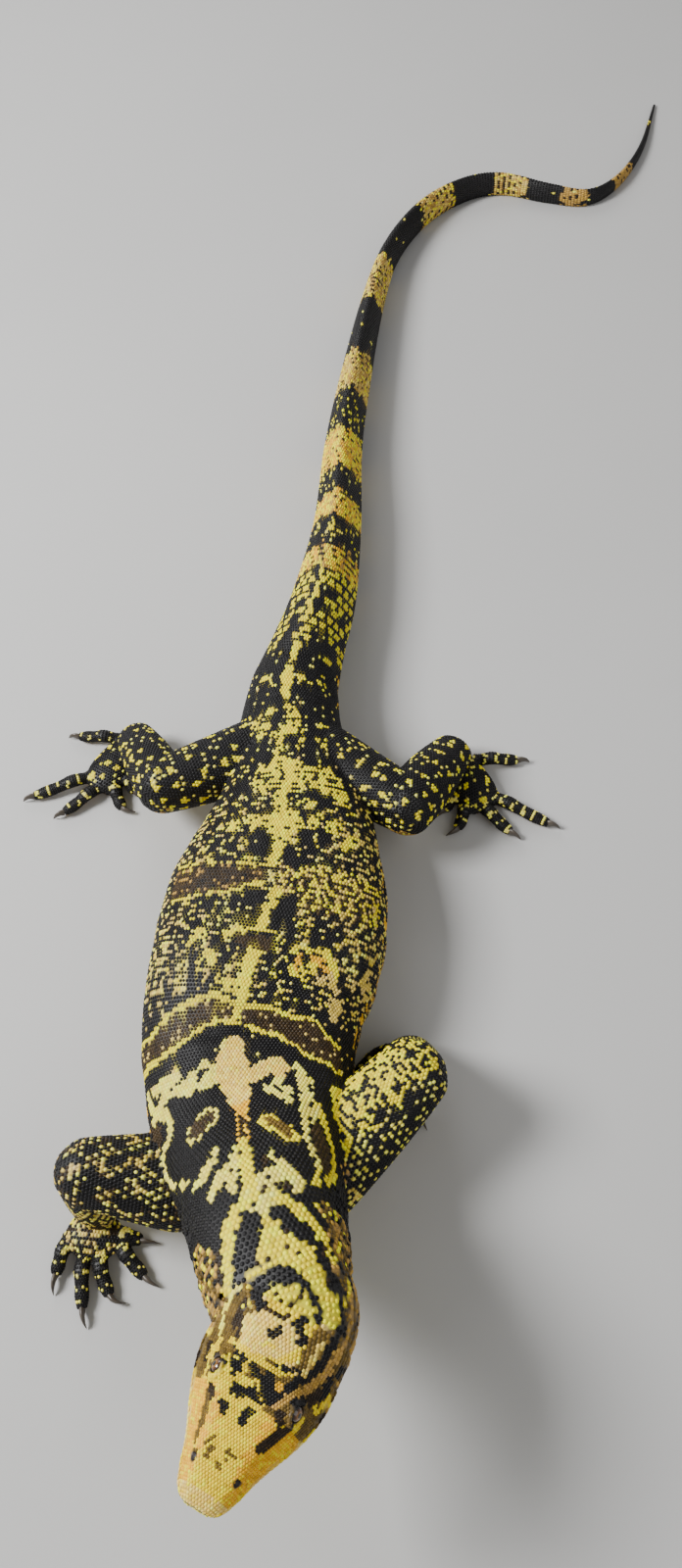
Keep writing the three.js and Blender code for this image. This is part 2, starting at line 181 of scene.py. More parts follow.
head_turn = rotation("Z", -22) @ rotation("X", -13) @ rotation("Y", 7)
head_axis = head_turn @ (0, 1, 0)
head_joint = snout_tip + skull_end * head_length * head_axis
neck_start = np.array([56.0, -500, 152, 50, 37, 42])
# x, y and z of the spine, half the width, the height above it and the depth below it
spine = np.array([
    [*(neck_start[:3] - 50 * head_axis), 43, 33, 36],
    [*head_joint, 44, 34, 37],
    neck_start,
    [43, -468, 133, 55, 42, 47],
    [31, -437, 110, 61, 45, 50],
    [20, -405, 88, 69, 46, 53],
    [9, -368, 71, 80, 46, 55],
    [0, -322, 61, 88, 48, 58],
    [-3, -275, 58, 94, 50, 60],
    [3, -218, 56, 101, 53, 58],
    [6, -162, 55, 98, 53, 57],
    [9, -105, 53, 82, 49, 54],
    [6, -50, 49, 63, 44, 49],
    [-2, 2, 46, 52, 42, 44],
    [-5, 60, 44, 45, 41, 44],
    [3, 120, 42, 38.5, 41, 42.5],
    [13, 185, 40, 34.5, 40, 40.5],
    [18, 290, 36, 26.5, 37, 36.5],
    [14, 410, 31, 22, 33, 31.5],
    [18, 525, 27, 19, 30, 27.5],
    [28, 665, 23, 15, 26, 23.5],
    [44, 770, 20, 12.5, 23, 20.5],
    [81, 855, 18, 11, 21, 18.5],
    [132, 908, 16, 10, 19, 16.5],
    [185, 926, 14.5, 9, 17, 15],
    [250, 908, 12.5, 8, 15, 13],
    [302, 902, 10.5, 7, 12.5, 11],
    [343, 940, 8.5, 5.6, 10, 9],
    [378, 1018, 6, 4, 6.5, 6.5],
    [402, 1128, 2.6, 1.6, 2.4, 3],
])
neck_end, tail_start, tail_end = 5.1, 14.0, len(spine) - 1.0
throat_fold, fold_side, fold_spread = 5, 0.86, 0.13
side_fullness, top_fullness = 0.86, 0.9


def along_rows(rows, at):
    """Smooth value of every column of rows at numbered stations."""
    i = np.clip(np.floor(at).astype(int), 0, len(rows) - 2)
    f = (at - i)[..., None]
    b, c = rows[i], rows[i + 1]
    a = np.where((i > 0)[..., None], rows[np.maximum(i - 1, 0)], 2 * b - c)
    d = np.where((i + 2 < len(rows))[..., None], rows[np.minimum(i + 2, len(rows) - 1)], 2 * c - b)
    return b + f * ((c - a) / 2 + f * (a - 2.5 * b + 2 * c - d / 2 + f * ((d - a) / 2 + 1.5 * (b - c))))


def unit(vectors):
    return vectors / np.linalg.norm(vectors, axis=-1, keepdims=True)


def eased(value, low, high):
    """0 up to low, 1 from high, and a smooth rise between them."""
    t = np.clip((value - low) / (high - low), 0, 1)
    return t * t * (3 - 2 * t)


def powered(value, power):
    """A sine or cosine made fuller, with its sign kept."""
    return np.sign(value) * np.abs(value) ** power


def round_turns(count):
    return np.linspace(0, 2 * math.pi, count, endpoint=False)


def distance_along(line):
    """How far each point of a line is from its start, along the line."""
    return np.concatenate([[0], np.cumsum(np.linalg.norm(np.diff(line, axis=0), axis=1))])


class Form:
    """A bent tube: rows of stations and a section of (row, turn from the top, station)."""

    def __init__(self, name, rows, section, start, end):
        self.name, self.rows, self.section = name, np.asarray(rows, float), section
        self.start, self.end = start, end
        self.stations = np.linspace(start, end, 1200)
        self.lengths = distance_along(along_rows(self.rows, self.stations)[:, :3])

    def surface(self, at, turn):
        """Points on the skin, turn counted from the top towards the side vector."""
        at, turn = np.broadcast_arrays(np.asarray(at, float), np.asarray(turn, float))
        row = along_rows(self.rows, at)
        along = unit(along_rows(self.rows, at + 0.01)[..., :3] - along_rows(self.rows, at - 0.01)[..., :3])
        side = unit(np.cross(along, (0.0, 0.0, 1.0)))
        across, rise = self.section(row, turn, at)
        place = row[..., :3] + side * across[..., None] + np.cross(side, along) * rise[..., None]
        place[..., 2] = np.maximum(place[..., 2], floor_gap)
        return place - middle

    def rings(self, step, sides):
        """Rings of points from end to end, about a step apart."""
        count = max(int(self.lengths[-1] / step), 8)
        at = np.linspace(self.start, self.end, count)[:, None]
        return self.surface(at, round_turns(sides)[None, :])


def body_section(row, turn, at):
    """Trunk, fuller than an ellipse and loose-skinned under the neck, passing into the tail."""
    width, above, below = row[..., 3] - skin_depth, row[..., 4] - skin_depth, row[..., 5] - skin_depth
    out, top = np.sin(turn), np.cos(turn)
    fold = np.where(at < neck_end, throat_fold * np.sin(math.pi * (at - 1) / (neck_end - 1)) ** 2, 0)
    low_side = np.exp(-((np.abs(out) - fold_side) / fold_spread) ** 2) * (top < 0)
    trunk = powered(out, side_fullness) * (width + fold * low_side)
    trunk_rise = powered(top, top_fullness) * np.where(top > 0, above, below)
    tail = out * width * np.where(top > 0, 1 - 0.3 * top, 1 + 0.12 * top)
    tail_rise = top * np.where(top > 0, above, below)
    share = eased(at, tail_start - 1.5, tail_start + 2)
    return trunk + (tail - trunk) * share, trunk_rise + (tail_rise - trunk_rise) * share


def limb_section(row, turn, at):
    """Legs, toes and claws: an ellipse."""
    return np.sin(turn) * (row[..., 3] - skin_depth), np.cos(turn) * (row[..., 4] - skin_depth)


body_form = Form("body", spine, body_section, 1.0, tail_end)

# each leg: its joints, the half widths and half heights of its two lengths at start, middle and end,
# the palm (x, y, heading, length, half width, half height), the girth of a toe, the length of a claw,
# the side of the inner toe, and the toes (ahead, aside, heading, length, curl)
limbs = {
    "front_right": {
        "root": (-44, -418, 62), "bend": (-114, -420, 80), "wrist": (-119, -440, 24),
        "upper": ((38, 30), (33, 29), (27, 26)), "lower": ((26, 24), (24, 19), (20, 12)),
        "palm": (-119, -444, -91, 24, 24, 9), "girth": 6, "claw": 15, "side": 1,
        "toes": ((8, 20, 76, 20, 6), (15, 21, 42, 36, 12), (23, 8, 8, 36, 34), (24, -6, 6, 44, 8),
                 (17, -21, -14, 28, 8)),
    },
    "front_left": {
        "root": (58, -412, 62), "bend": (136, -325, 80), "wrist": (130, -288, 24),
        "upper": ((38, 30), (36, 29), (30, 27)), "lower": ((27, 25), (23, 19), (18, 12)),
        "palm": (122, -292, -128, 24, 23, 9), "girth": 6, "claw": 15, "side": -1,
        "toes": ((10, 17, 4, 24, 6), (18, 5, 6, 36, 8), (20, -6, -10, 40, 6), (16, -14, -26, 42, -6),
                 (8, -20, -52, 28, -8)),
    },
    "hind_right": {
        "root": (-28, -12, 48), "bend": (-116, -58, 56), "wrist": (-162, 12, 26),
        "upper": ((35, 34), (31, 32), (26, 27)), "lower": ((26, 27), (25, 24), (19, 15)),
        "palm": (-173, 8, -118, 46, 21, 10), "girth": 6.2, "claw": 12, "side": 1,
        "toes": ((26, 19, 58, 18, 10), (38, 14, 34, 29, 40), (46, 2, -14, 46, -10), (39, -10, -37, 66, -2),
                 (-6, -18, -64, 42, 0)),
    },
    "hind_left": {
        "root": (24, -12, 48), "bend": (116, -68, 56), "wrist": (155, 12, 26),
        "upper": ((35, 34), (31, 32), (26, 27)), "lower": ((27, 28), (27, 25), (20, 15)),
        "palm": (163, 4, -60, 46, 21, 10), "girth": 6.2, "claw": 12, "side": -1,
        "toes": ((26, 19, 58, 18, 10), (38, 14, 30, 28, 30), (44, 2, -14, 42, -8), (38, -10, -32, 66, -6),
                 (0, -20, -64, 40, 0)),
    },
}


def heading_in_plan(degrees):
    """The direction on the floor at an angle from the animal's left."""
    return np.array([math.cos(math.radians(degrees)), math.sin(math.radians(degrees))])


def limb_rows(start, end, girths):
    """Stations of one length of a leg, rounded at both ends."""
    start, end = np.array(start, float), np.array(end, float)
    length = np.linalg.norm(end - start)
    along = (end - start) / length
    first, mid, last = girths
    shape = (
        (-0.9 * first[1], 0.42 * first[0], 0.42 * first[1]),
        (-0.5 * first[1], 0.84 * first[0], 0.84 * first[1]),
        (0, *first),
        (0.5 * length, *mid),
        (length, *last),
        (length + 0.5 * last[1], 0.84 * last[0], 0.84 * last[1]),
        (length + 0.9 * last[1], 0.42 * last[0], 0.42 * last[1]),
    )
    return [[*(start + along * at), w, h, h] for at, w, h in shape]


# of a palm: how far along it, and its width and height there, as parts of the whole
palm_shape = ((-0.3, 0.5, 0.9), (0, 0.8, 1), (0.5, 1, 1), (0.9, 0.95, 0.85), (1.12, 0.6, 0.6))
# of a toe: how high its middle lies and how thick it is, in girths; of a claw: how far along it, its
# width, how high its middle lies and its height
toe_shape = ((0.95, 1.15), (1.3, 1.0), (1.75, 1.1), (1.35, 0.95), (1.1, 1.0), (0.95, 0.72))
claw_shape = ((0, 0.62, 0.95, 0.95), (0.3, 0.5, 1.15, 0.85), (0.65, 0.34, 0.95, 0.6), (1, 0.12, 0.22, 0.16))
toe_flatness, claw_girth = 0.92, 0.8


def toe_rows(limb, toe):
    """Stations of one arched toe, and of the claw at its end."""
    girth = limb["girth"]
    ahead = heading_in_plan(limb["palm"][2])
    across = limb["side"] * np.array([-ahead[1], ahead[0]])
    forward, aside, toe_heading, length, curl = toe

    def turned(degrees):
        cosine, sine = heading_in_plan(degrees)
        return ahead * cosine + across * sine

    place = np.array(limb["palm"][:2]) + ahead * forward + across * aside - turned(toe_heading) * 0.5 * girth
    rows = []
    for i, (rise, thick) in enumerate(toe_shape):
        height = toe_flatness * thick * girth
        rows.append([*place, rise * girth, thick * girth, height, height])
        place = place + turned(toe_heading + curl * i / 5) * (length + 0.5 * girth) / 5
    claw = []
    start = np.array(rows[-1][:2])
    for at, width, rise, height in claw_shape:
        point = start + turned(toe_heading + curl * (1 + at)) * at * limb["claw"]
        half_width, half_height = claw_girth * width * girth, claw_girth * height * girth
        claw.append([*point, rise * girth, half_width, half_height, half_height])
    return rows, claw


limb_forms, claw_rows = {}, {}
for name, limb in limbs.items():
    x, y, palm_heading, length, width, height = limb["palm"]
    ahead = heading_in_plan(palm_heading)
    palm = []
    for at, w, h in palm_shape:
        palm.append([x + ahead[0] * at * length, y + ahead[1] * at * length, h * height, w * width,
                     h * height + 1, h * height + 1])
    parts = [
        Form("upper", limb_rows(limb["root"], limb["bend"], limb["upper"]), limb_section, 0, 6),
        Form("lower", limb_rows(limb["bend"], limb["wrist"], limb["lower"]), limb_section, 0, 6),
        Form("palm", palm, limb_section, 0, 4),
    ]
    claw_rows[name] = []
    for toe in limb["toes"]:
        rows, claw = toe_rows(limb, toe)
        parts.append(Form("toe", rows, limb_section, 0, 5))
        claw_rows[name].append(claw)
    limb_forms[name] = parts

# along the head from 0 to 1, then half the width at lip and brow, the height of crown and brow above
# the line of the mouth, the height of the chin, and half its width
head_sections = np.array([
    [0.0, 6, 4, 4, 3, -4, 3],
    [0.02, 12.5, 8.2, 8, 6.5, -6.5, 7],
    [0.07, 17.5, 11.5, 13, 11, -8.5, 10],
    [0.15, 21.5, 14.5, 17, 14.5, -12.5, 13],
    [0.3, 27.5, 17, 20, 17.5, -18, 17],
    [0.48, 37, 19.5, 24, 22.5, -24, 21],
    [0.62, 43, 25, 28.5, 27.5, -29, 25],
    [0.74, 46, 23.5, 30.5, 26.5, -32, 29],
    [0.87, 46.5, 25, 32, 27, -34, 32],
    [1.0, 45.5, 28, 33, 27, -36, 34],
    [1.08, 44, 30, 34, 27, -37, 34],
])
neck_girth = (46, 34, 37)
lip_height, outline_steps = 3, 14


class Head(Form):
    """The head from the tip of the snout, flat-topped, with brows, lips and a closed mouth."""

    def __init__(self):
        self.name = "head"
        self.start, self.end = 0.012, skull_end
        self.stations = np.linspace(self.start, self.end, 400)
        self.lengths = (self.stations - self.start) * head_length

    def outline(self, place):
        """Fifteen points from crown to chin for each place, as (places, 15, 2)."""
        i = np.clip(np.searchsorted(head_sections[:, 0], place) - 1, 0, len(head_sections) - 2)
        span = head_sections[i + 1, 0] - head_sections[i, 0]
        row = along_rows(head_sections, i + (place - head_sections[i, 0]) / span)
        _, lip, brow, crown, brow_z, chin, chin_half = row.T
        none = 0 * lip

        def mix(a, b, t):
            return a + (b - a) * t

        side = [
            (none, crown),
            (0.42 * brow, crown - 0.3),
            (0.8 * brow, mix(crown, brow_z, 0.4)),
            (brow, brow_z),
            (mix(brow, lip, 0.38), mix(brow_z, lip_height, 0.34)),
            (mix(brow, lip, 0.75), mix(brow_z, lip_height, 0.7)),
            (lip, none + lip_height),
            (lip - 0.3, none + 1.1),
            (lip - 1.5, none + 0.2),
            (lip - 0.9, none - 1),
            (lip - 1.2, none - 3.6),
            (mix(lip, chin_half, 0.2), mix(-3.6, chin, 0.5)),
            (chin_half, 0.88 * chin),
            (0.5 * chin_half, chin),
            (none, chin),
        ]
        shape = np.array(side).transpose(2, 0, 1)
        turn = math.pi * np.arange(outline_steps + 1) / outline_steps
        width, above, below = neck_girth
        height = np.where(np.cos(turn) > 0, above, below)
        neck = [powered(np.sin(turn), side_fullness) * width, powered(np.cos(turn), top_fullness) * height]
        shape = mix(shape, np.stack(neck, axis=1)[None], eased(place, 0.78, skull_end)[:, None, None])
        size = np.linalg.norm(shape, axis=2, keepdims=True)
        return shape * (1 - skin_depth / np.maximum(size, 1))

    def surface(self, at, turn):
        at, turn = np.broadcast_arrays(np.asarray(at, float), np.asarray(turn, float))
        places = np.unique(at)
        outlines = self.outline(places)[np.searchsorted(places, at)]
        turn = (turn + math.pi) % (2 * math.pi) - math.pi
        j = np.abs(turn) / math.pi * outline_steps
        i = np.clip(np.floor(j).astype(int), 0, outline_steps - 1)
        f = (j - i)[..., None]
        i = i[..., None, None]
        here, after = [np.take_along_axis(outlines, i + k, axis=-2)[..., 0, :] for k in (0, 1)]
        shape = here * (1 - f) + after * f
        return in_head(np.stack([shape[..., 0] * np.sign(turn), at * head_length, shape[..., 1]], axis=-1))


def in_head(points):
    """Points given from the tip of the snout, along the turned head, set in place."""
    return snout_tip + np.asarray(points, float) @ head_turn.T - middle


def on_side(place, side):
    """A place on the animal's left, mirrored to its right where side is -1."""
    return np.array(place) * (side, 1, 1)


head_form = Head()


# Skin: one closed hide without a seam over the whole animal. All forms are fused and smoothed,
# most at the roots of the legs, and the line of the mouth, the eye sockets, the nostrils and
# the ear openings are cut in.
eye_radius, eye_place = 6.2, (26.0, 0.64 * head_length, 20.5)
eye_outward = unit(np.array([0.84, -0.1, 0.54]))
eyelid_radius, eyelid_thickness, eyelid_bulge = 6.6, 1.6, 0.6 * eye_radius
nostril_place, nostril_radii = (16.5, 0.2 * head_length, 14.8), (3.3, 2.9, 2.1)
ear_place, ear_radii = (46.0, 1.0 * head_length, 6.0), (4.6, 3.0, 5.2)


def walls(count, sides):
    """Triangles between rings of points, from each ring to the next."""
    i, k = np.meshgrid(np.arange(count), np.arange(sides), indexing="ij")
    a, b = i * sides + k, i * sides + (k + 1) % sides
    return np.stack([a, b, b + sides, a, b + sides, a + sides], axis=-1).reshape(-1, 3)


def closed_form(rings):
    """Points and triangles of a closed solid through rings of points."""
    count, sides = rings.shape[:2]
    points = np.concatenate([rings.reshape(-1, 3), [rings[0].mean(axis=0), rings[-1].mean(axis=0)]])
    k = np.arange(sides)
    after = (k + 1) % sides
    last = (count - 1) * sides
    caps = [np.stack([after, k, 0 * k + count * sides], axis=1),
            np.stack([last + k, last + after, 0 * k + count * sides + 1], axis=1)]
    return points, np.concatenate([walls(count - 1, sides), *caps])


def ball(centre, radii, sides=24):
    """Rings of an egg-shaped closed form that is turned with the head."""
    down = np.linspace(0.02, math.pi - 0.02, sides // 2)[:, None]
    turn = -round_turns(sides)[None, :]
    shape = [np.sin(down) * np.cos(turn), np.sin(down) * np.sin(turn), np.cos(down) + 0 * turn]
    return np.asarray(centre) + (np.stack(shape, axis=-1) * radii) @ head_turn.T


def joined(forms):
    """Points and triangles of many forms together."""
    points, faces, first = [], [], 0
    for some_points, some_faces in forms:
        points.append(some_points)
        faces.append(some_faces + first)
        first += len(some_points)
    return np.concatenate(points), np.concatenate(faces)


def eyelid(side):
    """The swollen rim of the eyelids: a ring round the eye, narrower from top to bottom."""
    outward = on_side(eye_outward, side)
    centre = on_side(eye_place, side) + outward * eyelid_bulge
    back = unit(np.cross((0, 0, 1.0), outward))
    upward = np.cross(outward, back)
    turn, across = round_turns(48)[:, None, None], round_turns(12)[None, :, None]
    radial = back * np.cos(turn) * 1.18 + upward * np.sin(turn) * 0.88
    ring = centre + radial * (eyelid_radius + eyelid_thickness * np.cos(across))
    points = in_head((ring + outward * eyelid_thickness * np.sin(across)).reshape(-1, 3))
    return points, walls(48, 12)[:, ::-1] % len(points)


flesh = [closed_form(rings) for rings in (body_form.rings(4, 96), head_form.rings(1.6, 112))]
for parts in limb_forms.values():
    flesh += [closed_form(form.rings(3, 48)) for form in parts[:2]]
    flesh += [closed_form(form.rings(2, 32)) for form in parts[2:]]
points, faces = joined(flesh + [eyelid(1), eyelid(-1)])
skin = mesh_piece("skin", points * 0.001, faces)

mouth_turn, mouth_corner = math.pi * 8.4 / outline_steps, 0.9
slit_outside, slit_inside, slit_half_height = 1.8, 2.4, 0.7
at = np.linspace(mouth_corner, 0.004, 120)
lip_line = np.concatenate([head_form.surface(at, mouth_turn), head_form.surface(at[::-1], -mouth_turn)])
run = distance_along(lip_line)
even = np.linspace(0, run[-1], 160)
lip_line = np.stack([np.interp(even, run, lip_line[:, k]) for k in range(3)], axis=1)
for _ in range(4):
    lip_line[1:-1] = 0.5 * lip_line[1:-1] + 0.25 * (lip_line[:-2] + lip_line[2:])
upward = head_turn @ (0, 0, 1.0)
outward = unit(np.cross(upward, np.gradient(lip_line, axis=0)))
corners = (slit_outside * outward, slit_half_height * upward, -slit_inside * outward,
           -slit_half_height * upward)
cuts = [closed_form(np.stack([lip_line + corner for corner in corners], axis=1))]
# each hollow: its place, its radii and how far from its middle the scales begin
eye_gap = 0.35
hollows = ((eye_place, (eye_radius + eye_gap,) * 3, eye_radius + 1.6), (nostril_place, nostril_radii, 3.1),
           (ear_place, ear_radii, 4.8))
openings = []
for side in (1, -1):
    for hollow_place, radii, bare_radius in hollows:
        centre = in_head(on_side(hollow_place, side))
        openings.append((centre, np.array(radii), bare_radius))
        cuts.append(closed_form(ball(centre, radii)))
points, faces = joined(cuts)
cutter = mesh_piece("cutter", points * 0.001, faces)


def modified(piece, kind, **settings):
    """Applies one modifier to the piece's mesh for good."""
    modifier = piece.modifiers.new(kind.lower(), kind)
    for name, value in settings.items():
        setattr(modifier, name, value)
    plain(piece, piece.data.name + "_shaped")


def plain(piece, mesh_name):
    """Turns the piece with its modifiers into a plain mesh."""
    made = bpy.data.meshes.new_from_object(piece.evaluated_get(bpy.context.evaluated_depsgraph_get()))
    piece.modifiers.clear()
    old, piece.data = piece.data, made
    bpy.data.meshes.remove(old)
    made.name = mesh_name


voxel = 0.0016
modified(skin, "REMESH", mode="VOXEL", voxel_size=voxel, use_smooth_shade=True)
modified(skin, "SMOOTH", factor=0.5, iterations=3)


def read_vectors(items, field):
    """One row of three numbers from a field of each item."""
    values = np.empty(len(items) * 3, np.float32)
    items.foreach_get(field, values)
    return values.reshape(-1, 3).astype(float)


# where two forms meet, the hide runs over the joint in a soft hollow, out to its reach
root_reach, bend_reach, wrist_reach, nape_reach = 52, 34, 26, 46
soft_joints = []
for limb in limbs.values():
    soft_joints += [(np.array(limb["root"]) - middle + (limb["bend"][0] * 0.25, 0, 0), root_reach),
                    (limb["bend"] - middle, bend_reach), (limb["wrist"] - middle, wrist_reach)]
soft_joints.append((head_joint - middle, nape_reach))
place = read_vectors(skin.data.vertices, "co") * 1000
softness = np.zeros(len(place))
for centre, reach in soft_joints:
    softness = np.maximum(softness, 1 - eased(np.linalg.norm(place - centre, axis=1), 0.55 * reach, reach))
group = skin.vertex_groups.new(name="soft")
for level in range(1, 11):
    members = np.nonzero(np.round(softness * 10) == level)[0]
    group.add(members.tolist(), level / 10, "REPLACE")
modified(skin, "SMOOTH", factor=0.7, iterations=14, vertex_group="soft")
modified(skin, "BOOLEAN", object=cutter, operation="DIFFERENCE", solver="MANIFOLD")
bpy.data.objects.remove(cutter)
skin_triangles = 190000
modified(skin, "TRIANGULATE")
if len(skin.data.polygons) > skin_triangles:
    modified(skin, "DECIMATE", ratio=skin_triangles / len(skin.data.polygons))
skin.vertex_groups.clear()


# Scale rows: where each horny scale grows on the hide. Rings of scales follow one another along
# every form, each set half a scale on. A root knows how far along its form it is (s), how far
# from the midline (d), and its share of the way from top, 0, to underside, 1, negative on the right.
class Roots:
    """Roots of scales: place, lie, size, and where they are on the form they grow from."""

    columns = ("place", "lie", "size", "s", "d", "share", "form")

    def __init__(self):
        self.parts = []

    def add(self, form, place, lie, size, s, d, share):
        none = np.zeros(len(place))
        size = np.array(size) + none[:, None]
        self.parts.append((place, lie, size, s + none, d, share, np.full(len(place), form)))

    def arrays(self):
        return {name: np.concatenate(parts) for name, parts in zip(self.columns, zip(*self.parts))}


def ring_of_roots(roots, index, form, length, width, rise, shares=(0.0, 1.0), begin=0.0, finish=None,
                  skip=None):
    """Scales in rings round a form, between two shares of the way from its top to its underside."""
    centre = 0 if shares[0] == 0 else math.pi
    sweep = centre + np.linspace(-math.pi, math.pi, 161)
    s, number = begin, 0
    finish = finish or form.lengths[-1]
    while s < finish:
        step, wide = length(s), width(s)
        at = float(np.interp(s, form.lengths, form.stations))
        around = distance_along(form.surface(at, sweep))
        half_girth = around[-1] / 2
        around = around - around[80]
        shift = 0.5 * (number % 2)
        first, last = around[0] / wide - shift + 0.3, around[-1] / wide - shift - 0.3
        offset = (np.arange(math.ceil(first), math.floor(last) + 1) + shift) * wide
        turn = np.interp(offset, around, sweep)
        turn = (turn + math.pi) % (2 * math.pi) - math.pi
        share = np.abs(turn) / math.pi
        keep = (share >= shares[0]) & (share < shares[1])
        if skip is not None:
            keep &= ~skip(at, share)
        turn, share, offset = turn[keep], share[keep], offset[keep]
        if len(turn):
            place = form.surface(at, turn)
            ahead = min(0.02 if index else 0.002, 0.4 * (form.end - at))
            lie = unit(form.surface(at + ahead, turn) - form.surface(at - ahead, turn) + 1e-9)
            d = offset if shares[0] == 0 else np.sign(turn) * (half_girth - np.abs(offset))
            roots.add(index, place, lie, (wide, step, rise), s, d, share * np.sign(turn))
        s, number = s + step, number + 1


roots = Roots()
head_rise, back_rise, belly_rise = 0.45, 0.75, 0.7
lip_from, lip_to = 5.5 / outline_steps, 10.25 / outline_steps


def head_width(s):
    """Small scales on the snout and larger ones on the crown and nape."""
    return 2.15 + 1.3 * eased(s, 78, 121)


ring_of_roots(roots, 0, head_form, lambda s: 0.87 * head_width(s), head_width, head_rise,
              skip=lambda at, share: (share > lip_from) & (share < lip_to) & (at < mouth_corner))
# one row of tall plates stands on each lip
plate_length, plate_step, plate_rise = 3.4, 3.7, 0.7
lip_at = np.linspace(0.03, mouth_corner, 300)
for side in (1, -1):
    for lip_share, tall in ((6.05 / outline_steps, 4.0), (9.9 / outline_steps, 3.8)):
        run = distance_along(head_form.surface(lip_at, side * math.pi * lip_share))
        at = np.interp(np.arange(1.5, run[-1], plate_step), run, lip_at)
        turn = np.full(len(at), side * math.pi * lip_share)
        lie = unit(head_form.surface(at + 0.004, turn) - head_form.surface(at - 0.004, turn))
        roots.add(0, head_form.surface(at, turn), lie, (tall, plate_length, plate_rise), at * head_length,
                  turn / math.pi * 80, turn / math.pi)


def back_length(s):
    """Short scales on the back, longer ones on neck and tail."""
    on_neck, on_tail = 3.0 + 0.5 * eased(s, 0, 25), 1.3 * eased(s, 520, 760) - 0.9 * eased(s, 1500, 1900)
    return on_neck - 0.75 * eased(s, 70, 230) + on_tail


def back_width(s):
    return 3.5 + 0.5 * eased(s, 0, 25) - 1.05 * eased(s, 70, 230) - 0.2 * eased(s, 560, 760)


belly_share, belly_end, tail_tip = 0.7, 640, body_form.lengths[-1] - 2
belly_scale_length, belly_scale_width = 5.4, 4.6
ring_of_roots(roots, 1, body_form, back_length, back_width, back_rise, (0.0, belly_share), 1.0, belly_end)
ring_of_roots(roots, 1, body_form, lambda s: belly_scale_length, lambda s: belly_scale_width, belly_rise,
              (belly_share, 1.01), 1.0, belly_end)
ring_of_roots(roots, 1, body_form, back_length, back_width, back_rise, (0.0, 1.0), belly_end + 1, tail_tip)
# the scales of a leg: length, width and rise on each of its forms
limb_scales = {"upper": (2.9, 3.1, 0.75), "lower": (2.9, 3.1, 0.75), "palm": (2.7, 2.7, 0.75),
               "toe": (2.2, 2.3, 0.55)}
forms = [("head", head_form), ("body", body_form)]
for name, parts in limb_forms.items():
    for form in parts:
        length, width, rise = limb_scales[form.name]
        ring_of_roots(roots, len(forms), form, lambda s: length, lambda s: width, rise, begin=1.0)
        forms.append((name, form))
roots = roots.arrays()


# Folds of the hide: the same loose skin lies in shallow creases along the sides of the neck,
# behind the arms and down the flanks.
def tree_of(points):
    tree = KDTree(len(points))
    for i, point in enumerate(points.tolist()):
        tree.insert(point, i)
    tree.balance()
    return tree


def nearest(tree, points):
    """The number of the nearest point in the tree and its distance, for each point."""
    found = [tree.find(point)[1:] for point in points.tolist()]
    return np.array([f[0] for f in found]), np.array([f[1] for f in found])


def wavy(a, b, size, seed):
    """Uneven waves about size across, mostly from -1 to 1."""
    draw = np.random.default_rng(seed)
    total = 0
    for _ in range(6):
        angle, scale, phase = draw.uniform(0, math.pi), draw.uniform(0.7, 1.6), draw.uniform(0, 7)
        along = a * math.cos(angle) + b * math.sin(angle)
        total = total + np.sin(along * 6.283 / (size * scale) + phase)
    return total / 2.4


def rising_and_falling(value, start, full, falling, end):
    """A smooth rise from start to full and a smooth fall from falling to end."""
    return eased(value, start, full) * (1 - eased(value, falling, end))


place = read_vectors(skin.data.vertices, "co") * 1000
owner, _ = nearest(tree_of(roots["place"]), place)
s, d, share, form = (roots[name][owner] for name in ("s", "d", "share", "form"))
on_body = form == 1
high = np.abs(share)
neck_side = rising_and_falling(s, 12, 40, 95, 140) * rising_and_falling(high, 0.28, 0.42, 0.85, 0.98)
flank = rising_and_falling(s, 150, 200, 520, 600) * rising_and_falling(high, 0.38, 0.5, 0.62, 0.72)
creases = np.where(on_body, neck_side * (1.5 * wavy(s, d * 0.45, 13, 3) - 0.5), 0)
creases += np.where(on_body, flank * (1.1 * wavy(s * 0.45, d * 1.2, 16, 4) - 0.3), 0)
creases += np.where(on_body & (s < belly_end), 0.35 * wavy(s, d, 34, 5), 0)
highest_fold = 0.7
place += read_vectors(skin.data.vertex_normals, "vector") * np.minimum(creases, highest_fold)[:, None]
skin.data.vertices.foreach_set("co", (place * 0.001).astype(np.float32).ravel())
skin.data.update()


# Scale roots on the hide: each root moves to the nearest point of the finished skin, which the
# scales sit on. Where two forms meet, the scales of one give way, and bare places are filled.
class Hide:
    """The finished skin, to find the nearest place and its smooth direction."""

    def __init__(self, mesh):
        self.points = read_vectors(mesh.vertices, "co") * 1000
        self.normals = read_vectors(mesh.vertex_normals, "vector")
        self.corners = np.empty(len(mesh.polygons) * 3, np.int32)
        mesh.loops.foreach_get("vertex_index", self.corners)
        self.corners = self.corners.reshape(-1, 3)
        self.tree = BVHTree.FromPolygons(self.points.tolist(), self.corners.tolist())

    def snap(self, points):
        """The nearest places on the hide, the direction away from it there, and how far they are."""
        found = [self.tree.find_nearest(point) for point in points.tolist()]
        hit = np.array([f[0] for f in found])
        face = self.corners[np.array([f[2] for f in found])]
        away = np.array([f[3] for f in found])
        spread = 1 / (np.linalg.norm(self.points[face] - hit[:, None], axis=2) + 0.3) ** 2
        return hit, unit((self.normals[face] * spread[..., None]).sum(axis=1)), away


hide = Hide(skin.data)
roots["place"], roots["up"], away = hide.snap(roots["place"])
# a root farther from the hide than this lies inside another form: on head and body, and on the legs
farthest = np.where(roots["form"] < 2, 9.0, 6.0)


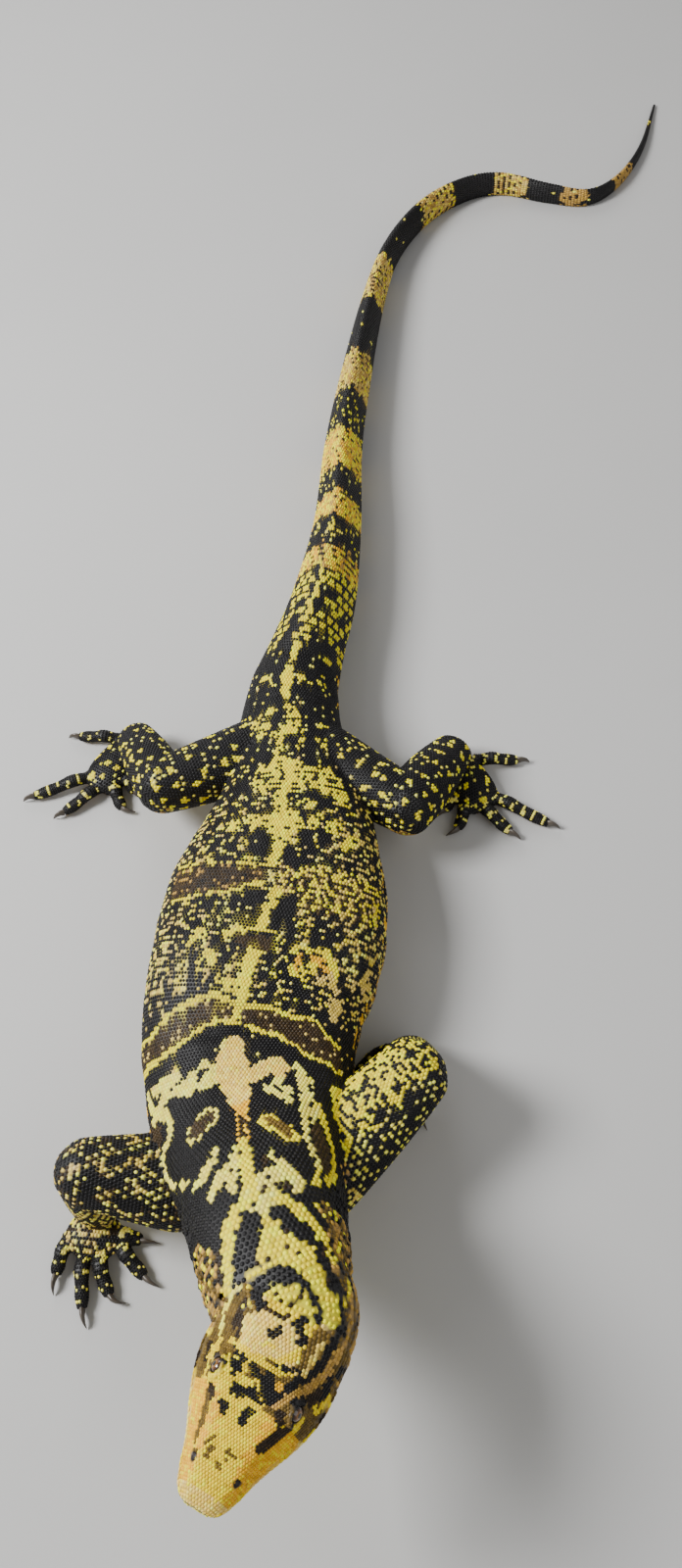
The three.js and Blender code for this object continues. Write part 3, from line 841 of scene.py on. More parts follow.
def clear_of_cuts(points, clearance):
    """Which points stay out of eyes, nostrils and ears, and clear of the line of the mouth."""
    clear = nearest(tree_of(lip_line), points)[1] > clearance
    for centre, _, bare_radius in openings:
        clear &= np.linalg.norm(points - centre, axis=1) > bare_radius
    return clear


from_lips, filling_from_lips = 1.7, 2.6
keep = (away < farthest) & clear_of_cuts(roots["place"], from_lips)
roots = {name: values[keep] for name, values in roots.items()}
# where scales of two forms crowd, the lip plates stay first and then those nearest to the hide;
# the distances are in widths of a scale
crowded, gaping, filled_step, filled_size = 0.62, 0.82, 0.85, (0.85, 0.85, 0.8)
order = np.argsort(away[keep] + 0.4 * (roots["form"] > 1), kind="stable")
lip_plate = (roots["form"] == 0) & (roots["size"][:, 2] > 0.6)
tree = tree_of(roots["place"])
alive = np.ones(len(order), bool)
for i in order[np.argsort(~lip_plate[order], kind="stable")].tolist():
    if alive[i]:
        reach = crowded * roots["size"][i, :2].min()
        for _, other, _ in tree.find_range(roots["place"][i], reach):
            alive[other] = other == i
roots = {name: values[alive] for name, values in roots.items()}
# bare places of the hide take a scale like the nearest one, a little smaller
owner, gap = nearest(tree_of(roots["place"]), hide.points)
widest_gap = gaping * roots["size"][owner, :2].min(axis=1) + 0.3
bare = np.nonzero((gap > widest_gap) & clear_of_cuts(hide.points, filling_from_lips))[0]
bare = bare[np.argsort(-gap[bare], kind="stable")]
tree, taken, extra = tree_of(hide.points[bare]), np.zeros(len(bare), bool), []
for number, i in enumerate(bare.tolist()):
    if not taken[number]:
        extra.append(i)
        for _, other, _ in tree.find_range(hide.points[i], filled_step * roots["size"][owner[i], 0]):
            taken[other] = True
filled = {name: values[owner[extra]] for name, values in roots.items()}
filled["place"], filled["up"] = hide.points[extra], hide.normals[extra]
filled["size"] = filled["size"] * filled_size
roots = {name: np.concatenate([values, filled[name]]) for name, values in roots.items()}


# Markings: yellow, cream and brown figures on black, as the scales of the living animal carry
# them, laid out in millimetres along the animal and away from its midline. A stroke is a chain
# of points, each with its place along, its place aside and its radius.
inks = {
    "black": (0.006, 0.0055, 0.006),
    "yellow": (0.92, 0.74, 0.0),
    "cream": (0.92, 0.79, 0.11),
    "gold": (0.92, 0.65, 0.0),
    "peach": (0.92, 0.64, 0.12),
    "orange": (0.84, 0.45, 0.01),
    "brown": (0.036, 0.022, 0.009),
    "tan": (0.42, 0.25, 0.05),
    "straw": (0.68, 0.50, 0.10),
    "olive": (0.12, 0.075, 0.014),
    "dark": (0.022, 0.013, 0.006),
}
inks = {name: np.array(value) for name, value in inks.items()}
head_marks = (
    ("olive", "24 -10 1.4, 29 -8 1.5", "31 -13 1.3, 34 -11 1.2", "23 0 1.3, 27 3 1.5", "33 1 1.3, 31 6 1.4",
     # the last olive stroke runs along the edge between the top and the side of the snout: partly the
     # animal's darker colour, partly painted shade where the snout turns down
     "20 -16 1.1, 24 -17 1.2", "28 -21 1.4, 45 -24 2, 57 -28 2.6"),
    ("black", "50 -13 2.6, 55 -14 3", "51 1 2.8, 57 2.5 3"),
    ("gold", "62 -17 6.5, 67 5 6.5"),
    ("black", "63 -12 3.3, 66 3 3.3"),
    ("black", "75 -28 3, 73 -19 4.4", "84 -24 2.2, 82 -20 3.2, 80 -15.5 2.8",
     "79 -9 2.4, 77 -6 3.2, 76 -3 2.2", "78 4 3, 74 4.5 4.4, 70 6 4.6, 68 12 4",
     "72 15 5, 80 19 3, 86 21 3", "86 5 1.4, 88 11 1.6, 91 17 1.8"),
    ("gold", "70 -14 1.3, 72 -6 1.3, 73 0 1.3", "87 -30 2, 84 -14 2.2, 84 -2 2.4", "84 6 2.4, 82.5 8.5 2",
     "79 -13 1.4, 74 -10 1.2", "88 0 2.4, 92 10 2", "68 -20 1.4, 78 -26 1.4"),
    ("orange", "77 11.5 2.8"),
    ("peach", "100 -21 8, 106 -14 8, 104 -4 7, 97 -10 8, 95 0 6, 99 6 5, 107 -20 6, 90 -14 4"),
    ("gold", "118 -18 4, 118 -10 6.5, 118 0 5",
     "118 13 4, 113 14 4, 108 15.5 3, 104 15 3, 101 15 3, 96 12 3, 91 8 2", "93 -8 1.2, 95 -2 1.4"),
    ("black", "119 -29 3.6, 115 -26 3.6, 112 -22.5 3", "104.5 -5 2.4, 102 -6 2.8, 99.5 -8.5 1.4",
     "112 1.5 2.2, 115 5 2.2, 118 8.5 1.6", "110.5 8.5 2.4, 107.5 10.5 3.2, 105 11.5 2.6"),
    ("dark", "111 -17 1.6, 112 -10 1.2, 113 -4 1"),
    ("olive", "118 24 4.4, 114 19.5 4, 109 19 3.2, 104 20 3.2, 99 19 3, 94 18 3",
     "107 -38 7, 116 -40 5, 96 -36 5"),
    ("straw", "110 25 1.6, 106 24 1.8, 101 23 1.8, 97 22.5 1.4"),
    ("dark", "96 -34 2.4, 104 -34 3, 110 -33 2.6", "90 -27 2.2, 99 -30 2"),
    ("cream", "88 -43 1.5, 95 -46 1.5, 105 -50 1.6, 113 -48 1.6, 119 -44 1.6"),
    ("black", "119 31 3.4, 111 31.5 3.6, 105.5 31.5 3.4, 99.5 30.5 3.2, 93 28.5 3, 87 26 2.6",
     "78 24 3, 76 30 3.4", "72 25 3.4"),
    ("black", "99 44 3, 94 45 4, 88 44 3.6", "106 50 4"),
    ("dark", "82 37 4, 87 41 4", "64 19 2.2, 61 22 3", "70 31 3"),
    ("tan",
     "66 15 1.8, 75 20 1.8, 82 26 2.2, 88 32 2.4, 94 35 3, 99 37 3.2, 104 38 3.6, 110 38.5 3.8, "
     "118 40 3.4"),
    ("gold", "64 33 2.2, 69 38 3.2", "80 46 2, 90 52 2.2"),
    ("dark", "42 18 2.4, 47 21.5 3.8, 54 25 3.4, 61 31 2.8"),
    ("dark", "52 -22 1.6, 60 -29 1.8", "66 -34 2, 76 -36 2.4", "71 -44 1.6, 82 -47 1.8"),
    ("gold", "62 -38 2, 76 -42 1.8, 86 -40 1.6"),
)
neck_marks = (
    ("black", "17 -10 4, 16.5 -5 3.8, 15.5 2 4.2, 14.5 10 6, 9.5 15.5 4.2, 4.5 17 3.4, 0 19 3",
     "14 -27 2.2, 20 -23.5 4, 26 -20.5 5.6, 33 -16.5 8, 42 -11.5 9.8, 50 -7.5 9, 58 -6 7",
     "21 -36 1.5, 23 -28 2.5",
     "0 37 3, 8 37 3.2, 15 38 4, 24 36.5 3.8, 32 32 4.6, 40 26 6.2, 48 20 6.4, 54 13.5 4.6, 57 8 2.5",
     "45 42 4, 52 38 5, 58 34 4, 66 40 6, 76 42 6, 90 44 6, 108 42 5",
     "50 -34 4, 58 -34 8, 64 -36 13, 76 -42 14"),
    ("dark", "44 -35 2.5, 36 -35 2.6, 28 -36 2.4, 20 -37 2.2", "14 40 1.6, 40 43 2, 30 47 2"),
    ("yellow",
     "18 -30 2.4, 26 -30.5 3, 36 -28.5 3.2, 46 -27 3.4, 54 -25 4, 61 -20.5 4, 67 -13 4.6, 71 -5 4.6, "
     "72 0 5", "66 12 4.6, 65 19 4.4, 58 27 3.6, 49 33 3, 41 38.5 2.4, 33 42.5 2.4, 24 44.5 2.4, 14 45 2.2",
     "29 29 2, 33 26.5 1.6, 26 31 1.8"),
    ("cream", "62 2 5, 66 8 5, 74 8 8, 76 -2 6", "84 3 3, 88 14 4, 84 21 5.4, 77 27 4.4, 71 31 3",
     "106 15.5 1.6, 97 21.5 2.8, 89 27 2.2, 82 31.5 2.6, 75 35 2.4",
     "107 -14 4, 100 -19 4.6, 94 -26 5, 88 -31 3.8, 83 -33 2.4", "92 -14 5.4, 86 -14 4.6, 80 -14 3",
     "127 -23 1.5, 120 -25 3, 113 -30 3.8, 108 -37 4.4, 103 -44 3", "98 -12 5, 112 -9 4.4, 118 -8 2.6"),
    ("yellow", "72 0 3, 80 -1.5 4.5, 90 -2 5.4, 100 -3 6, 110 -3 6.4, 118 -2.5 5.4"),
    ("orange", "124 -1.6 5, 132 -1.6 4.4, 142 -2 4.4, 152 -1.5 4, 160 -1 4.4, 168 -1.5 6, 175 -3 8"),
    ("yellow", "120 -2 4, 127 -2 2.6"),
    ("dark", "85 -9.5 2.2", "101 -15 1.3", "76 17.5 2.6, 73 24 2", "99 11 4.2", "92 9 1.6",
     "80 12 0.9, 70 4 0.8", "118 -6 0.9, 113 -5 0.8",
     "128 -3.6 1.2, 134 -4 1.5, 140 -2.4 1.8, 147 -2.6 1.8, 154 -2 1.5",
     "133 1 1.1, 150 1 1, 160 -3 0.9, 122 1 1"),
    ("cream", "154.5 -39 9, 165 -28 9.4"),
    ("yellow", "121 34 6.4, 131 27.5 7.4, 145 17 7.2"),
    ("brown", "156 -38 6.3, 165 -28.5 6.8"),
    ("olive", "124 32.5 3.4, 133 27 4.2, 144 18.5 4.2"),
    ("cream",
     "186 -66 4, 178 -62.5 4, 170 -62.5 3.4, 165 -67 3, 162 -76 3, 157 -83 3.2, 148 -85 3.2, 138 -80 3, "
     "126 -71 2.6", "120 -61 3, 113 -55 2.6",
     "158 48 4, 150 46 3.2, 138 46 3, 127 45 2.8, 116 46 2.6, 107 49 2.6, 98 51.5 2.6, 89 50.5 3"),
    ("yellow", "88 50 3, 81 48 4, 75 47 3",
     "160 58 4, 148 62 3, 138 64 2.8, 130 66 2.8, 118 70 3.2, 108 70 3.2, 98 68 3, 89 64 3, 82 56 3.4"),
    ("brown", "137 55 4.4, 126 56 6.6, 113 59 7.2, 101 60 6.2, 93 58 3.6"),
    ("cream", "140 52 2, 150 54 3, 158 60 3",
     "160 48 4, 170 50 6, 180 50 6.4, 190 50 6, 200 46 4.4, 210 44 3",
     "165 36 3.2, 172 30 3.6, 180 22 3.6, 187 18 3",
     "175 36 3.4, 182 34 4, 190 26 4, 196 30 4, 205 33 4.4, 212 30 4"),
    ("yellow", "158 78 4, 168 82 4, 180 82 5, 195 80 5, 205 78 5", "160 76 3, 188 74 3"),
    ("brown", "168 -94 8, 176 -80 8, 184 -88 8"),
    ("cream",
     "200 -70 3, 204 -64 6, 206 -54 8, 202 -44 8, 208 -38 8, 202 -28 7, 212 -28 6, 218 -30 5, 205 -20 6",
     "186 -66 4.4, 194 -74 5, 190 -84 4", "200 -84 4, 206 -86 4, 214 -88 3",
     "213 -54 5, 214 -66 4.4, 210 -76 4"),
    ("black", "207 -58 1.6, 211 -48 1.8", "206 -35 2, 212 -33 2.4, 214 -28 2", "188 33 2.6, 184 40 2.2",
     "176 44 2.2", "197 39 2.4, 203 41 2", "178 55 1.8, 186 53 1.8", "193 21 1.8"),
    ("peach", "178 -3 9, 190 -4 11, 200 -5 13, 210 -7 14, 220 -9 11, 230 -8 10, 236 -6 7",
     "198 8 6, 206 16 8, 210 24 8, 214 28 6", "200 30 5, 206 34 4"),
)
back_marks = (
    ("yellow", "262 -4 4, 272 -3 5, 280 -2 5, 290 -2 5", "286 -16 4, 290 -24 5, 284 -5 6, 292 -4 6",
     "302 -2 6.5, 312 -1 6, 320 0 7.5", "330 -26 3, 336 -20 2.5, 339 -5 2.5, 338 10 2.5, 333 20 3",
     "345 0 5, 352 2 5, 358 5 5, 364 7 5, 372 6 6"),
    ("brown", "327 -14 5, 327 8 6"),
    ("yellow", "310 35 5, 305 45 4, 320 50 6, 325 35 6, 328 60 5, 315 70 4"),
    ("orange", "313 38 3, 322 38 3, 325 52 3.4, 318 62 3"),
    ("black", "322 43 3.5", "331 66 3"),
    ("straw", "305 60 4, 312 66 4, 302 72 4", "310 85 4, 318 95 5, 312 105 5, 325 100 4",
     "285 75 5, 278 78 4, 290 78 5, 284 70 4", "266 75 4, 274 74 5"),
    ("yellow", "305 -45 4, 312 -38 3.5, 303 -32 3", "325 -55 4, 318 -60 3.5, 330 -50 3"),
    ("black", "348 -12 9, 368 -10 9, 358 -8 5", "350 14 8, 368 20 8"),
    ("cream", "354 -16 1.6, 358 -12 1.6, 354 -8 1.6, 350 -12 1.6"),
    ("yellow", "402 -2 4, 410 2 5, 416 2 5, 424 2 8, 432 4 7"),
    ("black", "410 -10 6", "408 14 8, 404 22 6", "422 -10 6, 426 -18 5"),
    ("yellow", "440 -26 7, 446 -24 4", "437 -43 6", "442 -2 12, 446 8 10, 440 16 6, 443 -14 7", "444 28 6",
     "445 46 7", "430 60 5, 437 64 5", "460 -4 6, 470 -5 6", "462 12 2, 468 20 2, 460 22 1.5",
     "488 -20 12, 500 -20 10, 485 5 12, 498 8 12, 510 -8 8, 490 30 12, 478 45 6, 470 55 5, 500 35 8"),
    ("black", "492 -26 1.5, 500 -27 1.5", "490 -5 1.5, 498 -3 1.8", "487 26 1.5, 493 27 2"),
    ("yellow", "522 -8 4, 532 -7 4, 542 -7 4", "537 8 2, 530 6 1.5, 536 14 2, 526 10 2",
     "530 32 5, 534 26 3, 536 40 3", "553 -18 8, 550 -26 4, 548 12 6, 552 8 6, 566 8 7, 572 6 5",
     "566 23 5", "553 36 6", "570 -14 6, 565 -17 4", "571 -27 4", "556 -33 8", "571 -40 4", "577 0 4",
     "592 -1 5, 602 -1 5, 612 -1 6, 620 0 6", "584 -25 4", "612 -24 7, 604 -18 4", "613 12 6",
     "612 34 6, 606 32 4", "600 22 3, 608 22 3", "635 0 4, 645 0 4, 655 0 4", "640 -14 3",
     "648 30 3, 650 40 3, 645 20 2", "652 -30 6"),
)
# the front and rear edge of the brown band across the shoulders: how far aside, how far along
band_front = (
    (-110, 226), (-85, 231), (-60, 236), (-50, 241), (-40, 249), (-30, 255), (-20, 258.5), (-10, 258),
    (0, 254), (10, 250), (20, 245), (30, 241), (40, 233), (50, 222), (60, 217), (70, 213), (78, 206),
)
band_rear = (
    (-85, 252), (-75, 258), (-65, 265), (-55, 270), (-45, 274), (-35, 277), (-25, 279), (-15, 277),
    (-5, 270), (0, 268), (5, 271), (15, 271), (25, 269), (35, 265), (45, 262), (52, 264), (60, 260),
    (65, 252), (72, 243), (80, 235),
)
# the pale bands of the tail: from, to, main colour
tail_bands = (
    (755, 790, "orange"), (835, 870, "orange"), (912, 975, "orange"), (1045, 1115, "straw"),
    (1218, 1305, "straw"), (1420, 1485, "straw"), (1550, 1595, "straw"), (1645, 1675, "tan"),
    (1725, 1775, "tan"), (1872, 1888, "dark"),
)


def hashed(i, j, seed):
    """A steady number from 0 to 1 for each pair of whole numbers."""
    mixed = np.sin(i * 127.1 + j * 311.7 + seed * 74.7) * 43758.5453
    return mixed - np.floor(mixed)


def spots(a, b, spacing, seed, loose=0.5):
    """Distance to the nearest spot of a loose pattern, and that spot's own random number."""
    closest, luck = np.full(np.shape(a), 1e9), np.zeros(np.shape(a))
    i0, j0 = np.floor(a / spacing), np.floor(b / spacing)
    for i in (i0 - 1, i0, i0 + 1):
        for j in (j0 - 1, j0, j0 + 1):
            x = (i + 0.5 + loose * (hashed(i, j, seed) - 0.5)) * spacing
            y = (j + 0.5 * (i % 2) + loose * (hashed(i, j, seed + 1) - 0.5) + 0.25) * spacing
            away = np.hypot(a - x, b - y)
            luck = np.where(away < closest, hashed(i, j, seed + 2), luck)
            closest = np.minimum(closest, away)
    return closest, luck


def stroke_gap(a, b, text):
    """Distance outside a tapering stroke, negative inside it."""
    chain = [tuple(float(part) for part in step.split()) for step in text.split(",")]
    best = np.full(np.shape(a), 1e9)
    for (x0, y0, r0), (x1, y1, r1) in zip(chain, chain[1:] or chain):
        length2 = max((x1 - x0) ** 2 + (y1 - y0) ** 2, 1e-6)
        t = np.clip(((a - x0) * (x1 - x0) + (b - y0) * (y1 - y0)) / length2, 0, 1)
        away = np.hypot(a - x0 - t * (x1 - x0), b - y0 - t * (y1 - y0))
        best = np.minimum(best, away - r0 - t * (r1 - r0))
    return best


class Paint:
    """Colours of the scales, black at first and then laid over one another."""

    def __init__(self, s, d, seed):
        self.s, self.d = s, d
        self.colour = np.tile(inks["black"], (len(s), 1))
        self.chance = np.random.default_rng(seed).uniform(0, 1, len(s))
        waves = 0.55 * wavy(s, d, 6, seed) + 0.35 * wavy(s, d, 15, seed + 1)
        self.ragged = waves + 0.9 * (self.chance - 0.5)

    def lay(self, ink, where):
        self.colour[where] = inks[ink]

    def marks(self, table, low, high):
        """Paints the strokes of a table, with ragged edges, between two places along."""
        zone = (self.s > low) & (self.s < high)
        for ink, *strokes in table:
            for text in strokes:
                gap = stroke_gap(self.s[zone], self.d[zone], text)
                inside = np.zeros(len(self.s), bool)
                inside[zone] = gap + self.ragged[zone] < 0.1
                self.lay(ink, inside)


def head_colours(s, d, share):
    """A golden snout with a peach tip, a dusky brow, a peach crown, banded lips, a cream chin."""
    paint = Paint(s, d, 11)
    side, high = np.abs(d), np.abs(share)
    mottle = wavy(s, d, 5, 21)
    brow, crown = (s >= 60) & (s < 92), s >= 88
    paint.lay("gold", s < 62)
    paint.lay("peach", s < 8 + mottle)
    paint.lay("orange", (s > 8) & (s < 62) & (side > 13 + 2 * mottle) & (paint.chance < 0.75))
    paint.lay("olive", brow)
    paint.lay("gold", brow & (wavy(s, d * 0.4, 9, 22) > 0.35) & (side < 45))
    paint.lay("peach", crown & (side < 25))
    paint.lay("olive", crown & (side >= 25))
    paint.marks(head_marks, -1, 200)
    lips = high > 0.40
    paint.lay("peach", lips & (s < 66))
    paint.lay("gold", lips & (s < 92) & (wavy(s, 0 * s, 11, 23) > 0.1))
    paint.lay("olive", lips & (s > 92) & (mottle > -0.1))
    paint.lay("tan", lips & (s > 92) & (mottle <= -0.1))
    paint.lay("cream", high > 0.76)
    paint.lay("dark", (high > 0.44) & (high < 0.8) & (wavy(s, 0 * s, 15, 24) > 0.75) & (s > 40))
    return paint.colour


def body_colours(s, d, share):
    """Neck, trunk and tail, each figure laid over the beads and mottle below it."""
    paint = Paint(s, d, 12)
    side, high = np.abs(d), np.abs(share)
    fine, broad = wavy(s, d, 6, 31), wavy(s, d, 14, 32)

    def along(low, end):
        return (s > low) & (s < end)

    # chains of cream beads run across back and sides, closing up to a mottle in the middle
    bead, luck = spots(s, d, 8.6, 33, 0.35)
    paint.lay("cream", along(470, 1000) & (bead < 1.7) & (luck < 0.4))
    chain = np.abs(np.mod(s + 2.6 * wavy(s * 0.3, d, 26, 41), 7.3) - 3.65) < 1.55
    dense = rising_and_falling(s, 255, 290, 520, 560) + 0.35 * eased(side, 50, 75)
    chained = chain & (wavy(s, d, 11, 42) > 1.05 - 0.8 * dense) & (paint.chance < 0.85) & along(190, 640)
    mottled = (wavy(s * 1.5, d * 0.8, 11, 43) > 1.55 - 0.75 * dense) & along(255, 470)
    light = chained | mottled
    paint.lay("cream", light)
    paint.lay("yellow", light & (hashed(np.round(s), np.round(d), 44) < 0.45) & (side < 75))
    paint.lay("straw", light & (hashed(np.round(s), np.round(d), 45) < 0.22 + 0.4 * eased(side, 30, 80)))
    paint.lay("orange", (high > 0.44) & along(150, 660) & (broad > 0.55))
    paint.lay("tan", (high > 0.50) & along(120, 660) & (fine + broad > 0.25))
    # neck: yellow above, mottled at the sides
    neck, nape = s < 62 + 3 * fine, (d > -37) & (d < 42)
    paint.lay("yellow", neck & nape)
    paint.lay("dark", neck & nape & (fine > 0.95))
    paint.lay("olive", neck & ~nape)
    paint.lay("tan", neck & ~nape & (fine + 0.5 * broad > 0.05))
    paint.lay("yellow", neck & (side > 37) & (side < 75) & (fine > 0.75))
    paint.lay("black", neck & (side > 37) & (fine < -0.6))
    paint.marks(neck_marks, -5, 250)
    # the dark-edged brown band across the shoulders
    front = np.interp(d, *np.array(band_front).T) + paint.ragged
    rear = np.interp(d, *np.array(band_rear).T) + paint.ragged
    on_back = (d > -112) & (d < 84)
    band = on_back & along(front + 2.5, rear - 2.5)
    paint.lay("black", on_back & along(front - 15, rear + 4) & (side > 14))
    paint.lay("yellow", on_back & along(front - 2.5, rear + 2.5))
    paint.lay("brown", band)
    paint.lay("dark", band & (paint.chance < 0.35))
    paint.lay("straw", band & (paint.chance > 0.95))
    # the broad speckled band behind the middle of the back
    edge = np.interp(d, (-90, -60, -40, -25, -12, 0), (362, 366, 368, 373, 378, 380)) + paint.ragged
    left = along(edge, 400 + 3 * fine) & (d > -95) & (d < -4)
    paint.lay("brown", left)
    paint.lay("dark", left & (paint.chance > 0.7))
    paint.lay("tan", left & (paint.chance < 0.16))
    paint.lay("yellow", left & ((s < edge + 4) | (s > 396 + 3 * fine)))
    right = along(361 + 3 * fine, 403 + 3 * fine) & (d > 5) & (d < 104)
    rows, speckle = np.abs(np.mod(s + 1.5 * fine, 6.8) - 3.4) < 1.2, wavy(s * 1.5, d, 6, 47)
    paint.lay("yellow", right)
    paint.lay("straw", right & (wavy(s, d, 7, 46) > 0.1))
    paint.lay("dark", right & rows & (speckle > -0.1))
    paint.lay("brown", right & (speckle > 0.62))
    paint.marks(back_marks, 250, 665)
    # rows of dark scales part the light ones, and a dark net parts those of the rump
    parted = (np.mod(s + 1.3 * fine, 6.8) < 2.3) & (wavy(s * 2, d, 9, 48) > -0.1 - 0.5 * (s > 465))
    cell, luck = spots(s, d, 9.5, 49, 0.4)
    net = (cell > 4.3) | (luck > 0.8)
    gaps = (parted & along(285, 520)) | (net & along(514, 665))
    paint.lay("black", gaps & (side > 5 + 2 * fine) & (paint.colour.sum(axis=1) > 0.6))
    # the tail is banded, with square spots at its base
    uneven = 3 * wavy(s, d * 1.5, 20, 35) + 2 * fine
    cross_rows = (np.mod(s + fine, 8.4) < 2.9) & (wavy(s * 1.6, d, 9, 37) > 0.0)
    for low, end, ink in tail_bands:
        inside = along(low + uneven, end + uneven)
        paint.lay(ink, inside)
        paint.lay("yellow", inside & (paint.chance < (0.45 if ink == "orange" else 0.2)) & (ink != "tan"))
        paint.lay("tan", inside & (paint.chance > (0.8 if low < 1000 else 0.62)) & (ink != "dark"))
        paint.lay("dark", inside & cross_rows)
    mark, luck = spots(s, d, 10.8, 51, 0.25)
    base = along(655, 757)
    paint.lay("black", base)
    paint.lay("yellow", base & (mark < 4.1) & (luck < 0.66))
    paint.lay("cream", base & (mark < 1.6) & (luck > 0.8))
    paint.lay("yellow", base & (side < 2.6) & (wavy(s, 0 * s, 18, 52) > -0.3))
    mark, luck = spots(s, d, 8.5, 38, 0.6)
    paint.lay("yellow", along(757, 1045) & (mark < 1.9) & (luck < 0.40))
    paint.lay("cream", along(1000, 1700) & (mark < 1.6) & (luck > 0.93))
    paint.lay("yellow", along(800, 830) & (side < 4) & (fine > -0.2))
    # pale underside with dusky cross bars
    under = (high > belly_share) & (s < 660)
    paint.lay("cream", under)
    paint.lay("tan", under & (paint.chance < 0.25))
    paint.lay("dark", under & (wavy(s, d * 0.25, 22, 40) > 0.45))
    return paint.colour


def limb_colours(s, d, share, name, part):
    """Ringed toes, beaded arms, and hind legs with beads and larger spots."""
    number = list(limb_forms).index(name)
    paint = Paint(s, d, 13 + len(part) + 7 * number)
    seed = 50 + 3 * number + len(part)
    under = np.abs(share) > 0.72
    if part == "toe":
        rings = (np.mod(s + 1.5 * wavy(s, d, 9, seed), 10.6) < 2.3) & (np.abs(share) < 0.45)
        paint.lay("cream", rings & (paint.chance < 0.9))
        paint.lay("tan", under)
        return paint.colour
    bead, luck = spots(s, d, 7.0 if name.startswith("hind") else 5.4, seed, 0.3)
    dots, chosen = spots(s, d, 16, seed + 1, 0.5)
    patch = wavy(s, d, 16, seed + 2)
    row_step = 5.8
    if name == "front_right":
        close = (patch > 0.35) | ((part != "upper") & (patch > -0.5))
        rows = (np.mod(s + 1.2 * patch, row_step) < 2.9) & (paint.chance < 0.40)
        paint.lay("dark", close & (paint.chance > 0.5))
        paint.lay("cream", (bead < 1.5) & (luck < 0.62) & (patch > -0.9))
        paint.lay("straw", close & (rows | ((bead < 1.5) & (luck > 0.55))))
    elif name == "front_left":
        upper = part == "upper"
        dense = upper & (s > 20) & (d + 6 * patch < 12)
        rows = (np.mod(s + 1.5 * patch, row_step) < 3.6) & (paint.chance < 0.90)
        paint.lay("yellow", dense & (rows | (wavy(s, d, 9, seed + 4) > 0.75)))
        paint.lay("black", dense & (wavy(s, d, 12, seed + 5) > 1.0))
        paint.lay("cream", ~dense & (bead < 1.6) & (luck < 0.74) & (patch < 1.2))
        paint.lay("straw", upper & (s < 60) & (np.abs(d - 30) < 26) & (wavy(s, d, 13, seed + 6) > 0.8))
    else:
        paint.lay("cream", (bead < 1.5) & (luck < 0.4))
        paint.lay("yellow", (dots < 2.2 + 1.6 * chosen) & (chosen > 0.2))
    if part == "palm":
        paint.lay("yellow", (dots < 3.2) & (chosen < 0.35))
    paint.lay("tan", under)
    paint.lay("cream", under & (paint.chance < 0.35))
    return paint.colour


s, d, share, form = (roots[name] for name in ("s", "d", "share", "form"))
tone = np.zeros((len(s), 3))
for index, (name, shape) in enumerate(forms):
    here = form == index
    where = s[here], d[here], share[here]
    if name == "head":
        tone[here] = head_colours(*where)
    elif name == "body":
        tone[here] = body_colours(*where)
    else:
        tone[here] = limb_colours(*where, name, shape.name)
# no two scales are quite alike in tone: dark ones vary more, and pale ones also in how yellow they are
draw = np.random.default_rng(5)
pale = np.clip(tone.sum(axis=1) / 1.2, 0, 1)[:, None]
tone *= 1 + pale * draw.normal(0, 0.13, (len(s), 1)) + (1 - pale) * draw.uniform(-0.3, 0.7, (len(s), 1))
tone[:, 2] *= 1 + 0.25 * draw.normal(0, 1, len(s)) * pale[:, 0]
tone = np.clip(tone, 0.004, 0.9)


# Coat: the scales themselves, low six-sided horny domes that grow from the hide, flat on the
# head and keeled on the tail, each of one colour. Head, neck, back, belly, tail and each leg
# carry their own sheet of them.
def tone_of(start):
    return start.node("ShaderNodeAttribute", {"attribute_name": "tone"})


def coat_finish(start):
    dust = start.noise(0.0035, 2.0)
    shade = 1.15 - dust * 0.3
    soiled = start.node("ShaderNodeVectorMath", {"operation": "SCALE"}, {0: tone_of(start), "Scale": shade})
    return {"Base Color": soiled, "Roughness": 0.30 + dust * 0.16, "Specular IOR Level": 0.17,
            "Normal": bump(start, start.noise(0.0009, 1.0), 0.00008)}


coat_material = material("scales", coat_finish)


def attribute(piece, name, kind, values):
    """A named value on every point of a piece: a vector, or a colour without its opacity."""
    if kind == "FLOAT_COLOR":
        values = np.column_stack([values, np.ones(len(values))])
    field = "color" if kind == "FLOAT_COLOR" else "vector"
    piece.data.attributes.new(name, kind, "POINT").data.foreach_set(field, np.ravel(values))


def scale_shape(name, upper_ring, upper_height, apex):
    """One scale, a unit wide and long: a sunk base, a ring part way up, and the apex."""
    base = np.array([(0, -0.667), (0.5, -0.333), (0.5, 0.333), (0, 0.667), (-0.5, 0.333), (-0.5, -0.333)])
    points = [(x, y, -0.6) for x, y in base * 0.97]
    points += [(x * upper_ring, y * upper_ring, upper_height) for x, y in base]
    points.append(apex)
    faces = []
    for k in range(6):
        after = (k + 1) % 6
        faces += [(k, after, 6 + after, 6 + k), (6 + k, 6 + after, 12)]
    faces.append((5, 4, 3, 2, 1, 0))
    piece = mesh_piece(name, points, faces)
    attribute(piece, "patch_offset", "FLOAT_VECTOR", np.array(points) * (0.003, 0.0023, 0))
    return piece


bead_scale = scale_shape("bead_scale", 0.72, 0.70, (0, 0.06, 1.0))
plate_scale = scale_shape("plate_scale", 0.84, 0.78, (0, 0, 1.0))
keeled_scale = scale_shape("keeled_scale", 0.6, 0.5, (0, 0.3, 1.15))


